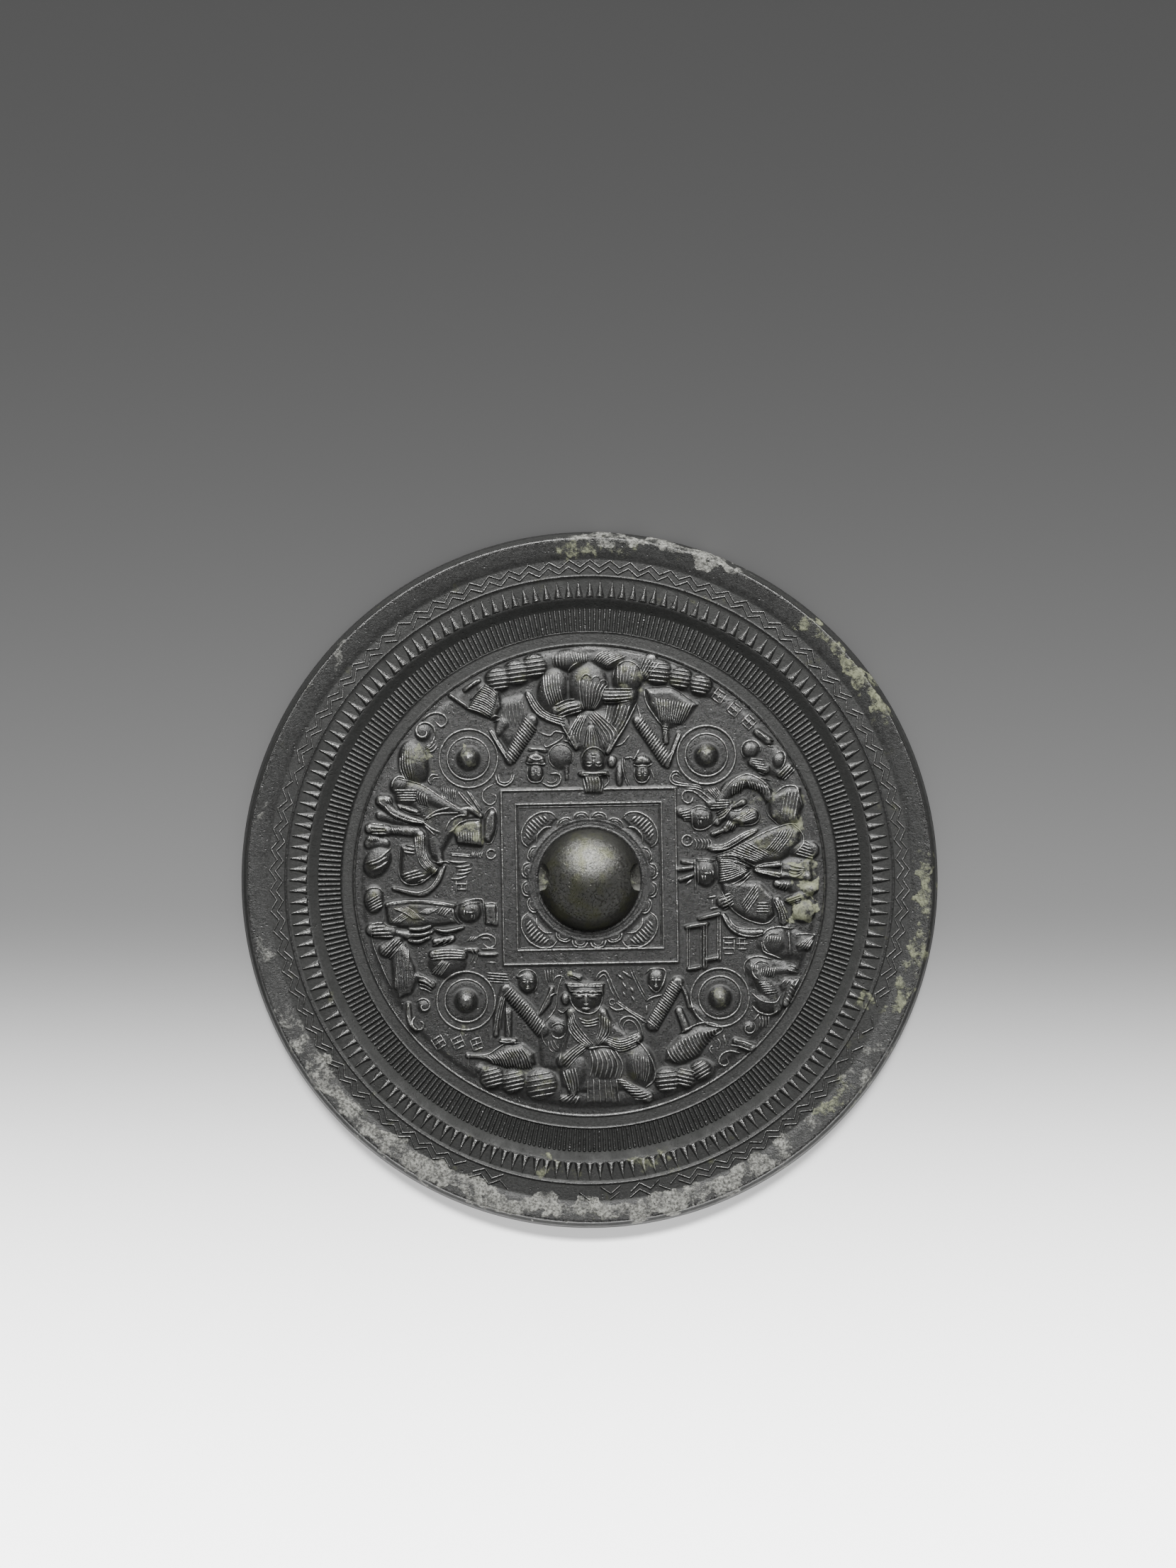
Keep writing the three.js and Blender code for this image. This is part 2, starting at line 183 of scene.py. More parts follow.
def placer(x: float, y: float, turn: float, scale: float = 1.0) -> Callable[[Route], Route]:
    """Return what puts a route in place: it is scaled, turned by some degrees and moved."""
    c, s = scale * math.cos(math.radians(turn)), scale * math.sin(math.radians(turn))
    return lambda route: [(x + u * c - v * s, y + u * s + v * c) for u, v in route]


def finish_mesh(name: str, bm: bmesh.types.BMesh, sharp: Optional[float] = None) -> bpy.types.Object:
    """Write a bmesh in millimetres out as a smooth object in metres.

    Args:
        name: The piece's name.
        bm: The bmesh, which is freed.
        sharp: Edges that bend by more than this many degrees stay sharp; none do if it is missing.

    Returns:
        The new object, at the origin.
    """
    bmesh.ops.scale(bm, vec=(MM, MM, MM), verts=bm.verts)
    bmesh.ops.recalc_face_normals(bm, faces=bm.faces)
    mesh = bpy.data.meshes.new(name)
    bm.to_mesh(mesh)
    bm.free()
    mesh.shade_smooth()
    if sharp is not None:
        mesh.set_sharp_from_angle(angle=math.radians(sharp))
    piece = bpy.data.objects.new(name, mesh)
    bpy.context.scene.collection.objects.link(piece)
    return piece


def spun(outline: Route, steps: int) -> bmesh.types.BMesh:
    """Spin a section, given as radius and height from axis to axis, into a closed solid.

    Args:
        outline: The section's radii and heights, from axis to axis.
        steps: How many steps go round.

    Returns:
        The solid.
    """
    bm = bmesh.new()
    verts = [bm.verts.new((radius, 0, height)) for radius, height in outline]
    edges = [bm.edges.new(pair) for pair in zip(verts[:-1], verts[1:])]
    bmesh.ops.spin(bm, geom=verts + edges, cent=(0, 0, 0), axis=(0, 0, 1), dvec=(0, 0, 0),
                   angle=2 * math.pi, steps=steps, use_merge=True)
    bmesh.ops.remove_doubles(bm, verts=bm.verts, dist=1e-4)
    return bm


def places_of(piece: bpy.types.Object) -> np.ndarray:
    """Return the places of a piece's vertices, in millimetres.

    Args:
        piece: The piece.

    Returns:
        One row for each vertex.
    """
    spots = np.empty(len(piece.data.vertices) * 3)
    piece.data.vertices.foreach_get("co", spots)
    return spots.reshape(-1, 3) / MM


def mark_wear_and_shade(piece: bpy.types.Object, around: Callable[[np.ndarray, np.ndarray], np.ndarray]) -> None:
    """Store on each vertex how far it stands above its surroundings: raised places wear lighter, low places
    take painted shade and patina.

    Args:
        piece: The piece.
        around: Gives the mean height around any places.
    """
    spots = places_of(piece)
    wear = spots[:, 2] - around(spots[:, 0], spots[:, 1])
    piece.data.attributes.new("wear", "FLOAT", "POINT").data.foreach_set("value", wear.astype(np.float32))


# The relief: rounded forms on a height canvas, and fine strokes laid over them


@dataclass
class ReliefCanvas:
    """Heights of the field and its raised forms over a square grid, in millimetres."""

    reach: float = 72.0
    pitch: float = 0.2
    depth: float = 0.82
    height: np.ndarray = field(init=False)
    axis: np.ndarray = field(init=False)
    around: np.ndarray = field(init=False)

    def __post_init__(self) -> None:
        """Start from the level field with its dip along the edge."""
        count = int(round(2 * self.reach / self.pitch)) + 1
        self.axis = np.linspace(-self.reach, self.reach, count)
        across, along = np.meshgrid(self.axis, self.axis)
        radius = np.hypot(across, along)
        dip = np.clip((radius - RADII.dip) / 1.6, 0, 1)
        self.height = LEVELS.field - 0.35 * dip * dip * (3 - 2 * dip)

    def window(self, points: Route, margin: float) -> tuple[tuple[slice, slice], np.ndarray, np.ndarray]:
        """Return the part of the canvas around some points, as slices and coordinate grids.

        Args:
            points: The points.
            margin: How far the part goes beyond them.

        Returns:
            Its rows and columns, and the places across and along it.
        """
        spots = np.array(points)
        low = np.searchsorted(self.axis, spots.min(0) - margin)
        high = np.searchsorted(self.axis, spots.max(0) + margin)
        rows, columns = slice(low[1], high[1]), slice(low[0], high[0])
        across, along = np.meshgrid(self.axis[columns], self.axis[rows])
        return (rows, columns), across, along

    def raise_to(self, where: tuple[slice, slice], rise: np.ndarray) -> None:
        """Raise the canvas to a form's height above the field, where the form is the higher."""
        lifted = np.where(rise > 0, LEVELS.field + rise * self.depth, -1.0)
        self.height[where] = np.maximum(self.height[where], lifted)

    def dome(self, x: float, y: float, half_width: float, half_length: float, rise: float = 2.0,
             turn: float = 0.0, crown: Crown = Crown.ROUND) -> None:
        """Raise an oval form, such as a head, knee or cushion.

        Args:
            x: Centre, to the right.
            y: Centre, upwards.
            half_width: Half the size across, before it is turned.
            half_length: Half the size along, before it is turned.
            rise: Height above the field.
            turn: Turn in degrees, anticlockwise.
            crown: Round all over, or flat with rounded shoulders.
        """
        where, across, along = self.window([(x, y)], max(half_width, half_length))
        c, s = math.cos(math.radians(turn)), math.sin(math.radians(turn))
        u = ((across - x) * c + (along - y) * s) / half_width
        v = (-(across - x) * s + (along - y) * c) / half_length
        self.raise_to(where, rise * self.section(np.hypot(u, v), min(half_width, half_length), crown))

    def section(self, share: np.ndarray, half: float, crown: Crown) -> np.ndarray:
        """Return the height, as a share of the rise, at a share of the way from crest to foot.

        Args:
            share: The share of the way.
            half: Half the form's width.
            crown: Its cross section.

        Returns:
            The share of the rise.
        """
        inside = np.clip(1 - share * share, 0, 1)
        if crown is Crown.ROUND:
            return np.clip(1 - share ** 2.5, 0, 1) ** 0.75
        return np.clip((1 - share) * half / 1.0, 0, 1) ** 0.7 * (0.82 + 0.18 * inside)

    def limb(self, points: Route, widths: Sequence[float], rise: float = 2.0,
             crown: Crown = Crown.ROUND) -> None:
        """Raise a long form along a route, such as an arm, wing or train.

        Args:
            points: The route of its middle line.
            widths: Its full width at even steps along the route.
            rise: Height above the field.
            crown: Round all over, or flat with rounded shoulders.
        """
        route = smooth_route(points, 0.9)
        halves = np.interp(np.linspace(0, 1, len(route)), np.linspace(0, 1, len(widths)), widths) / 2
        where, across, along = self.window(route, halves.max())
        share = np.full(across.shape, 9.0)
        for (ax, ay), (bx, by), ha, hb in zip(route[:-1], route[1:], halves[:-1], halves[1:]):
            dx, dy = bx - ax, by - ay
            t = np.clip(((across - ax) * dx + (along - ay) * dy) / (dx * dx + dy * dy + 1e-9), 0, 1)
            distance = np.hypot(across - ax - t * dx, along - ay - t * dy)
            share = np.minimum(share, distance / (ha + (hb - ha) * t))
        self.raise_to(where, rise * self.section(share, float(halves.mean()), crown))

    def plate(self, points: Route, rise: float = 1.2, shoulder: float = 1.0) -> None:
        """Raise a flat-topped form with straight sides, such as a robe, crown or panel.

        Args:
            points: The corners, in order.
            rise: Height above the field.
            shoulder: Width of the rounded edge.
        """
        where, across, along = self.window(points, 0.5)
        inside = np.zeros(across.shape, dtype=bool)
        nearest = np.full(across.shape, 99.0)
        for (ax, ay), (bx, by) in zip(points, list(points[1:]) + [points[0]]):
            crosses = (ay > along) != (by > along)
            with np.errstate(divide="ignore", invalid="ignore"):
                inside ^= crosses & (across < (bx - ax) * (along - ay) / (by - ay + 1e-12) + ax)
            dx, dy = bx - ax, by - ay
            t = np.clip(((across - ax) * dx + (along - ay) * dy) / (dx * dx + dy * dy), 0, 1)
            nearest = np.minimum(nearest, np.hypot(across - ax - t * dx, along - ay - t * dy))
        rounded = rise * np.sin(np.clip(nearest / shoulder, 0, 1) * np.pi / 2)
        self.raise_to(where, np.where(inside, rounded, 0))

    def ridge(self, centre: Point, radius: float, width: float, rise: float) -> None:
        """Raise a round ridge in a full circle.

        Args:
            centre: Centre of the circle.
            radius: Radius of its crest.
            width: Its full width.
            rise: Height above the field.
        """
        where, across, along = self.window([centre], radius + width)
        off = np.abs(np.hypot(across - centre[0], along - centre[1]) - radius)
        self.raise_to(where, rise * np.clip(1 - (2 * off / width) ** 2, 0, 1))

    def cone(self, centre: Point, radius: float, rise: float) -> None:
        """Raise a nipple: a cone with a rounded foot and a blunt point.

        Args:
            centre: Centre of the foot.
            radius: Radius of the foot.
            rise: Height above the field.
        """
        where, across, along = self.window([centre], radius)
        share = np.clip(1 - np.hypot(across - centre[0], along - centre[1]) / radius, 0, 1)
        self.raise_to(where, rise * (0.35 * share ** 0.5 + 0.65 * share ** 1.15))

    def blurred(self, heights: np.ndarray, width: float) -> np.ndarray:
        """Return heights blurred over this width, in millimetres.

        Args:
            heights: Values over the grid.
            width: The blur's width.

        Returns:
            The blurred values.
        """
        count = int(3 * width / self.pitch)
        weights = np.exp(-0.5 * (np.arange(-count, count + 1) * self.pitch / width) ** 2)
        result = np.pad(heights, count, mode="edge")
        for axis in (0, 1):
            result = np.apply_along_axis(np.convolve, axis, result, weights / weights.sum(), "valid")
        return result

    def soften(self, width: float) -> None:
        """Round every edge off a little, as casting does, with a blur of this width."""
        self.height = self.blurred(self.height, width)

    def survey(self, lines: Sequence[tuple[np.ndarray, np.ndarray]], width: float = 0.7) -> None:
        """Note the mean height around each place, with the strokes counted in.

        Args:
            lines: The places and half widths along each stroke.
            width: How far around a place counts.
        """
        top = self.height.copy()
        for places, halves in lines:
            spots = np.linspace(0, len(places) - 1, 5 * len(places))
            known = [np.interp(spots, np.arange(len(places)), values) for values in (*places.T, halves)]
            column, row = (np.rint((known[axis] + self.reach) / self.pitch).astype(int) for axis in (0, 1))
            np.maximum.at(top, (row, column), known[2] + known[3])
        self.around = self.blurred(top, width)

    def mean(self, across: np.ndarray, along: np.ndarray) -> np.ndarray:
        """Return the mean height around any places on the canvas."""
        return self.sample(across, along, self.around)

    def sample(self, across: np.ndarray, along: np.ndarray,
               heights: Optional[np.ndarray] = None) -> np.ndarray:
        """Return the heights at any places on the canvas, or other values noted over its grid.

        Args:
            across: Places to the right.
            along: Places upwards.
            heights: Other values, if not the canvas's own.

        Returns:
            A value for each place.
        """
        u = np.clip((np.asarray(across) + self.reach) / self.pitch, 0, len(self.axis) - 2.001)
        v = np.clip((np.asarray(along) + self.reach) / self.pitch, 0, len(self.axis) - 2.001)
        i, j = u.astype(int), v.astype(int)
        fu, fv = u - i, v - j
        h = self.height if heights is None else heights
        return ((h[j, i] * (1 - fu) + h[j, i + 1] * fu) * (1 - fv)
                + (h[j + 1, i] * (1 - fu) + h[j + 1, i + 1] * fu) * fv)

    def normals(self, across: np.ndarray, along: np.ndarray) -> np.ndarray:
        """Return the surface's unit normals at any places on the canvas.

        Args:
            across: Places to the right.
            along: Places upwards.

        Returns:
            One row for each place.
        """
        d = self.pitch
        slope_x = (self.sample(across + d, along) - self.sample(across - d, along)) / (2 * d)
        slope_y = (self.sample(across, along + d) - self.sample(across, along - d)) / (2 * d)
        up = np.column_stack([-slope_x, -slope_y, np.ones(len(slope_x))])
        return up / np.linalg.norm(up, axis=1)[:, None]


@dataclass
class Strokes:
    """Fine raised lines, such as folds, ribs and hair, that lie on a surface."""

    name: str
    surface: Callable[[np.ndarray, np.ndarray], np.ndarray]
    lift: float = 0.75
    boldness: float = 1.15
    lines: list[tuple[np.ndarray, np.ndarray]] = field(default_factory=list)
    chance: random.Random = field(default_factory=lambda: random.Random(7))

    def line(self, points: Route, width: float = 0.42, taper: Taper = Taper.BOTH, step: float = 0.7) -> None:
        """Lay one stroke.

        Args:
            points: The places it runs through.
            width: Its full width at the middle.
            taper: How it thins towards its ends.
            step: The distance between its cross sections.
        """
        route = smooth_route(points, step)
        share = np.linspace(0, 1, len(route))
        if taper is Taper.LEAF:
            girth = np.sin(np.pi * (0.06 + 0.88 * share)) ** 0.7
        elif taper is Taper.BOTH:
            girth = np.clip(np.minimum(share, 1 - share) * 7 + 0.35, 0, 1)
        else:
            girth = np.ones(len(route))
        half = width / 2 * self.boldness * girth * (1 + self.chance.uniform(-0.1, 0.1))
        height = self.surface(route[:, 0], route[:, 1]) + self.lift * half
        self.lines.append((np.column_stack([route, height]), half))

    def ribs(self, one_edge: Route, other_edge: Route, count: int, width: float = 0.46,
             bow: float = 0.0) -> None:
        """Lay ribs from one edge across to another.

        Args:
            one_edge: The route that the ribs start on.
            other_edge: The route that they end on.
            count: How many ribs there are.
            width: Their full width.
            bow: How far the middle of each stands off the straight line, to its left.
        """
        for index in range(count):
            share = (index + 0.5) / count
            start, end = at_share(one_edge, share), at_share(other_edge, share)
            reach = (end[0] - start[0], end[1] - start[1])
            off = bow + self.chance.uniform(-0.06, 0.06)
            size = math.hypot(*reach) + 1e-6
            middle = (start[0] + reach[0] / 2 - reach[1] / size * off,
                      start[1] + reach[1] / 2 + reach[0] / size * off)
            self.line([start, middle, end], width)

    def folds(self, first: np.ndarray, last: np.ndarray, count: int, width: float = 0.46) -> None:
        """Lay folds that change evenly from the first route into the last, which has as many points."""
        for share in np.linspace(0, 1, count):
            self.line(first + (last - first) * share, width)

    def build(self) -> bpy.types.Object:
        """Make all the strokes one mesh of thin closed tubes, half sunk in the surface.

        Returns:
            The piece.
        """
        curve = bpy.data.curves.new(self.name, "CURVE")
        curve.dimensions = "3D"
        curve.twist_mode = "Z_UP"
        curve.bevel_depth = MM
        curve.bevel_resolution = 1
        curve.use_fill_caps = True
        for places, halves in self.lines:
            spline = curve.splines.new("POLY")
            spline.points.add(len(places) - 1)
            spline.points.foreach_set("co", np.column_stack([places * MM, np.ones(len(places))]).ravel())
            spline.points.foreach_set("radius", halves)
        shape = bpy.data.objects.new(self.name + "_route", curve)
        bpy.context.scene.collection.objects.link(shape)
        mesh = bpy.data.meshes.new_from_object(shape.evaluated_get(bpy.context.evaluated_depsgraph_get()))
        mesh.name = self.name
        bpy.data.objects.remove(shape)
        bpy.data.curves.remove(curve)
        mesh.shade_smooth()
        piece = bpy.data.objects.new(self.name, mesh)
        bpy.context.scene.collection.objects.link(piece)
        return piece


@dataclass
class Quarter:
    """One quarter of the field's surface, as a closed block whose top is the relief."""

    name: str
    canvas: ReliefCanvas
    side_x: int
    side_y: int
    cell: float = 0.26

    def build(self) -> bpy.types.Object:
        """Make the block: a fine grid cut to the ring, walled down and closed below.

        Returns:
            The piece.
        """
        count = int(math.ceil(RADII.relief / self.cell))
        size = count * self.cell
        bm = bmesh.new()
        bmesh.ops.create_grid(bm, x_segments=count, y_segments=count, size=size / 2)
        bmesh.ops.translate(bm, verts=bm.verts, vec=(self.side_x * size / 2, self.side_y * size / 2, 0))
        limit = RADII.relief + self.cell * 0.2
        outside = [face for face in bm.faces if face.calc_center_median().length > limit]
        bmesh.ops.delete(bm, geom=outside, context="FACES")
        for vert in bm.verts:
            if vert.is_boundary and min(abs(vert.co.x), abs(vert.co.y)) > 1e-6:
                vert.co *= RADII.relief / vert.co.length
        top = list(bm.verts)
        edges = [edge for edge in bm.edges if edge.is_boundary]
        walls = bmesh.ops.extrude_edge_only(bm, edges=edges)["geom"]
        low = [item for item in walls if isinstance(item, bmesh.types.BMVert)]
        rim = [item for item in walls if isinstance(item, bmesh.types.BMEdge) and item.is_boundary]
        places = np.array([vert.co[:2] for vert in top])
        for vert, height in zip(top, self.canvas.sample(places[:, 0], places[:, 1])):
            vert.co.z = height
        for vert in low:
            vert.co.z = LEVELS.underlay - 0.5
        bmesh.ops.contextual_create(bm, geom=rim)
        piece = finish_mesh(self.name, bm)
        coordinates = places_of(piece)
        normals = self.canvas.normals(coordinates[:, 0], coordinates[:, 1])
        piece.data.normals_split_custom_set_from_vertices(normals.tolist())
        return piece


# Body, rings and knob


@dataclass
class MirrorBody:
    """The spun disc: plain rings, slopes, rim and the convex reflecting face."""

    steps: int = 384
    face_rise: float = 1.4
    slope_foot: float = 82.2
    zigzag_floor: float = 92
    worn_above: float = 2.6
    broad_wear: float = 0.05
    fine_wear: float = 0.03

    def back_profile(self) -> list[Point]:
        """Return the back's section, outside the relief, as radius and height in millimetres.

        Returns:
            The section, from the axis to the edge.
        """
        lv, r = LEVELS, RADII
        return [
            (0, lv.underlay), (r.relief - 0.5, lv.underlay), (r.relief - 0.42, lv.ring - 0.2),
            (r.relief - 0.2, lv.ring + 0.16), (r.inner_ridge, lv.ring + 0.34),
            (r.inner_ridge + 0.24, lv.ring + 0.2), (r.inner_ridge + 0.45, lv.ring),
            (r.outer_ridge - 0.45, lv.ring + 0.03), (r.outer_ridge - 0.2, lv.ring + 0.2),
            (r.outer_ridge, lv.ring + 0.3), (r.outer_ridge + 0.2, lv.ring + 0.16),
            (r.comb_inner + 0.05, lv.comb), (r.comb_outer - 0.1, lv.comb + 0.05),
            (r.comb_outer + 0.15, lv.comb + 0.2), (r.comb_outer + 0.5, lv.comb + 0.36),
            (r.saw_inner - 0.6, lv.saw - 0.24), (r.saw_inner - 0.25, lv.saw - 0.05),
            (r.saw_inner, lv.saw), (r.saw_outer + 0.1, lv.saw + 0.02),
            (r.saw_outer + 0.4, lv.saw + 0.1), (r.saw_ridge - 0.35, lv.zigzag + 0.02),
            (r.saw_ridge - 0.16, lv.zigzag + 0.26), (r.saw_ridge + 0.05, lv.zigzag + 0.3),
            (r.saw_ridge + 0.22, lv.zigzag + 0.18), (r.saw_ridge + 0.4, lv.zigzag),
            (r.zigzag_outer - 0.1, lv.zigzag + 0.03), (r.zigzag_outer + 0.25, lv.zigzag + 0.14),
            (r.zigzag_outer + 1.0, lv.zigzag + 0.42), (98.9, 5.98), (100.4, 6.26), (101.8, 6.48),
            (r.crest - 0.3, lv.crest), (r.crest, lv.crest), (r.crest + 0.2, lv.crest - 0.18),
            (r.crest + 0.7, 5.7), (r.crest + 1.5, 3.9), (r.edge - 0.14, 2.3),
            (r.edge, 1.95), (r.edge - 0.04, 1.62), (r.edge - 0.35, 1.42),
        ]

    def face_profile(self) -> list[Point]:
        """Return the convex reflecting face's section, from the edge in to the flat spot.

        Returns:
            The section.
        """
        shares = np.linspace(0.94, 0, 9)
        span = RADII.edge - 0.35 - RADII.rest
        return [(RADII.rest + span * s, self.face_rise * s * s) for s in shares] + [(0, 0)]

    def braced(self, outline: Route) -> list[Point]:
        """Add points near both ends of an outline's long runs, which keeps their shading even.

        Args:
            outline: The section.

        Returns:
            The section with the added points.
        """
        result = [outline[0]]
        for start, end in zip(outline[:-1], outline[1:]):
            length = math.dist(start, end)
            if 1.4 < length < 10:
                result += [mix(start, end, 0.22 / length), mix(start, end, 1 - 0.22 / length)]
            result.append(end)
        return result

    def height(self, across: np.ndarray, along: np.ndarray) -> np.ndarray:
        """Return the back's height at any places on the rings."""
        profile = np.array([spot for spot in self.back_profile() if spot[0] < RADII.edge])
        return np.interp(np.hypot(across, along), profile[:, 0], profile[:, 1])

    def mean(self, across: np.ndarray, along: np.ndarray) -> np.ndarray:
        """Return the mean height around any places, with the bars and teeth counted in, and raised over the
        outer bevel so that the bevel takes painted shade.

        Args:
            across: Places to the right.
            along: Places upwards.

        Returns:
            A height for each place.
        """
        radius = np.hypot(across, along)
        around = np.mean([self.height(radius + off, 0) for off in np.linspace(-0.5, 0.5, 9)], axis=0)
        bands = (
            # The first band lifts the mean over the outer bevel, so the bevel reads as sunk and takes dark
            # painted shade.
            (0.4, RADII.crest + 0.35, RADII.edge + 1), (0.1, RADII.relief - 0.5, RADII.crest - 1),
            (0.1, self.slope_foot, RADII.saw_inner - 0.2),
            (0.12, RADII.comb_inner - 0.2, RADII.comb_outer + 0.2),
            (0.08, RADII.saw_inner, RADII.saw_outer + 0.3), (0.02, self.zigzag_floor, RADII.zigzag_outer),
        )
        for rise, inner, outer in bands:
            around += rise * ((radius > inner) & (radius < outer))
        return around

    def build(self) -> bpy.types.Object:
        """Spin the section into the disc, and wear its raised edges unevenly.

        Returns:
            The piece.
        """
        bm = spun(self.braced(self.back_profile() + self.face_profile()), self.steps)
        for vert in bm.verts:
            radius = math.hypot(vert.co.x, vert.co.y)
            if radius > RADII.outer_ridge and vert.co.z > self.worn_above:
                vert.co.z += (self.broad_wear * noise.noise(vert.co * 0.35)
                              + self.fine_wear * noise.noise(vert.co * 1.4))
                vert.co.z = min(vert.co.z, LEVELS.crest + 0.02)
        return finish_mesh("mirror_body", bm, sharp=50)


@dataclass
class Repeats:
    """Small raised forms set at even angles round a ring."""

    name: str
    count: int
    bm: bmesh.types.BMesh = field(default_factory=bmesh.new)

    def repeat(self, template: bmesh.types.BMesh, wobble: float = 0.0) -> None:
        """Copy a form that lies along +X to every place on the ring.

        Args:
            template: The form, which is freed.
            wobble: How far, in degrees, a copy may stray from its place.
        """
        mesh = bpy.data.meshes.new("template")
        template.to_mesh(mesh)
        template.free()
        chance = random.Random(self.count)
        for index in range(self.count):
            angle = math.radians(360 * index / self.count + chance.uniform(-wobble, wobble))
            start = len(self.bm.verts)
            self.bm.from_mesh(mesh)
            self.bm.verts.ensure_lookup_table()
            bmesh.ops.rotate(self.bm, cent=(0, 0, 0), matrix=Matrix.Rotation(angle, 3, "Z"),
                             verts=self.bm.verts[start:])
        bpy.data.meshes.remove(mesh)

    def build(self) -> bpy.types.Object:
        """Make the ring of forms one piece."""
        return finish_mesh(self.name, self.bm, sharp=40)


def comb_bar() -> bmesh.types.BMesh:
    """Return one bar of the comb ring: a half-round bar that lies along +X.

    Returns:
        The bar, at its place to the right.
    """
    bm = bmesh.new()
    length = RADII.comb_outer - RADII.comb_inner - 0.1
    middle = (RADII.comb_outer + RADII.comb_inner) / 2
    bmesh.ops.create_cone(bm, cap_ends=True, segments=10, radius1=0.44, radius2=0.49, depth=length)
    bmesh.ops.rotate(bm, cent=(0, 0, 0), matrix=Matrix.Rotation(math.pi / 2, 3, "Y"), verts=bm.verts)
    bmesh.ops.translate(bm, verts=bm.verts, vec=(middle, 0, LEVELS.comb + 0.02))
    return bm


def saw_tooth(count: int) -> bmesh.types.BMesh:
    """Return one tooth of the saw ring.

    Args:
        count: How many teeth the ring has.

    Returns:
        A low wedge with its base on the inner edge and its point outwards.
    """
    half = math.pi * RADII.saw_inner / count - 0.06
    middle = (RADII.saw_inner + RADII.saw_outer) / 2
    bm = bmesh.new()
    base = [bm.verts.new((x, y, LEVELS.saw - 0.05))
            for x, y in ((RADII.saw_inner, -half), (RADII.saw_outer + 0.3, 0), (RADII.saw_inner, half))]
    top = bmesh.ops.extrude_face_region(bm, geom=[bm.faces.new(base)])["geom"]
    for vert in (item for item in top if isinstance(item, bmesh.types.BMVert)):
        vert.co = (middle + (vert.co.x - middle) * 0.82, vert.co.y * 0.22, LEVELS.saw + 0.5)
    bmesh.ops.holes_fill(bm, edges=[edge for edge in bm.edges if edge.is_boundary])
    upper = [edge for edge in bm.edges if all(v.co.z > LEVELS.saw for v in edge.verts)]
    bmesh.ops.bevel(bm, geom=upper, offset=0.1, offset_type="OFFSET", segments=2, profile=0.5,
                    affect="EDGES", material=-1)
    return bm


@dataclass
class Knob:
    """The domed knob, pierced from left to right for a cord."""

    radius: float = 15.3
    foot: float = 3.65
    channel_half: float = 4.1
    channel_top: float = 4.8
    channel_y: float = 0.8

    def dome(self) -> bpy.types.Object:
        """Spin the solid dome, from its rounded foot to its crown.

        Returns:
            The dome.
        """
        rise = LEVELS.knob_top - self.foot
        ball = (self.radius ** 2 + rise ** 2) / (2 * rise)
        widest = math.asin(self.radius / ball)
        outline = [(0, LEVELS.underlay), (self.radius - 0.1, LEVELS.underlay)]
        for angle in np.linspace(widest, 0, 40):
            outline.append((ball * math.sin(angle), self.foot + rise - ball * (1 - math.cos(angle))))
        outline[-1] = (0, LEVELS.knob_top)
        return finish_mesh("mirror_knob_dome", spun(outline, 160))

    def channel(self) -> bpy.types.Object:
        """Make the arched cutter that opens the cord channel.

        Returns:
            The cutter.
        """
        bm = bmesh.new()
        bmesh.ops.create_circle(bm, cap_ends=True, segments=40, radius=1)
        for vert in bm.verts:
            across, up = vert.co.x, vert.co.y
            level = self.foot + (self.channel_top * max(up, 0) ** 0.8 if up > 0 else 0.35 * up)
            swell = 1 + 0.12 * noise.noise(Vector((across * 2, up * 2, 3)))
            vert.co = Vector((-20, self.channel_y + across * self.channel_half * swell, level))
        far = bmesh.ops.extrude_face_region(bm, geom=bm.faces[:])["geom"]
        bmesh.ops.translate(bm, verts=[v for v in far if isinstance(v, bmesh.types.BMVert)], vec=(40, 0, 0))
        return finish_mesh("cord_channel_cutter", bm)

    def build(self) -> bpy.types.Object:
        """Cut the channel through the dome and return the finished knob.

        Returns:
            The piece.
        """
        dome, cutter = self.dome(), self.channel()
        cut = dome.modifiers.new("channel", "BOOLEAN")
        cut.operation = "DIFFERENCE"
        cut.solver = "EXACT"
        cut.object = cutter
        mesh = bpy.data.meshes.new_from_object(dome.evaluated_get(bpy.context.evaluated_depsgraph_get()))
        dome.modifiers.clear()
        dome.data = mesh
        bpy.data.objects.remove(cutter)
        mesh.shade_smooth()
        mesh.set_sharp_from_angle(angle=math.radians(40))
        return dome


@dataclass
class RimZigzag:
    """The double zigzag line that runs round the rim."""

    periods: int = 98
    outer: tuple[float, float] = (94.2, 96.3)
    inner: tuple[float, float] = (92.4, 94.5)

    def draw(self, strokes: Strokes) -> None:
        """Lay both lines, with the breaks and wear of the old casting.

        Args:
            strokes: Takes the lines.
        """
        chance = random.Random(5)
        for low, high in (self.outer, self.inner):
            shift = 0.0 if high > 95 else 0.06
            for index in range(self.periods):
                foot, tip, next_foot = (
                    polar(radius + chance.uniform(-0.12, 0.12), 360 * (index + part + shift) / self.periods)
                    for radius, part in ((low, 0), (high, 0.5), (low, 1))
                )
                if not self.worn(index, chance):
                    strokes.line([foot, mix(foot, tip, 0.5), tip], 0.38, Taper.NONE, 1.1)
                if not self.worn(index, chance):
                    strokes.line([tip, mix(tip, next_foot, 0.5), next_foot], 0.38, Taper.NONE, 1.1)

    def worn(self, index: int, chance: random.Random) -> bool:
        """Return whether the line is worn away there: mostly along the lower edge.

        Args:
            index: Which of the line's periods it is.
            chance: The source of chance.

        Returns:
            Whether the line is missing.
        """
        angle = 360 * index / self.periods
        worst = math.exp(-((angle - 262) / 16) ** 2) + 0.5 * math.exp(-((angle - 335) / 8) ** 2)
        return chance.random() < 0.03 + 0.75 * worst


# The field: the court round the knob, and the groups of figures


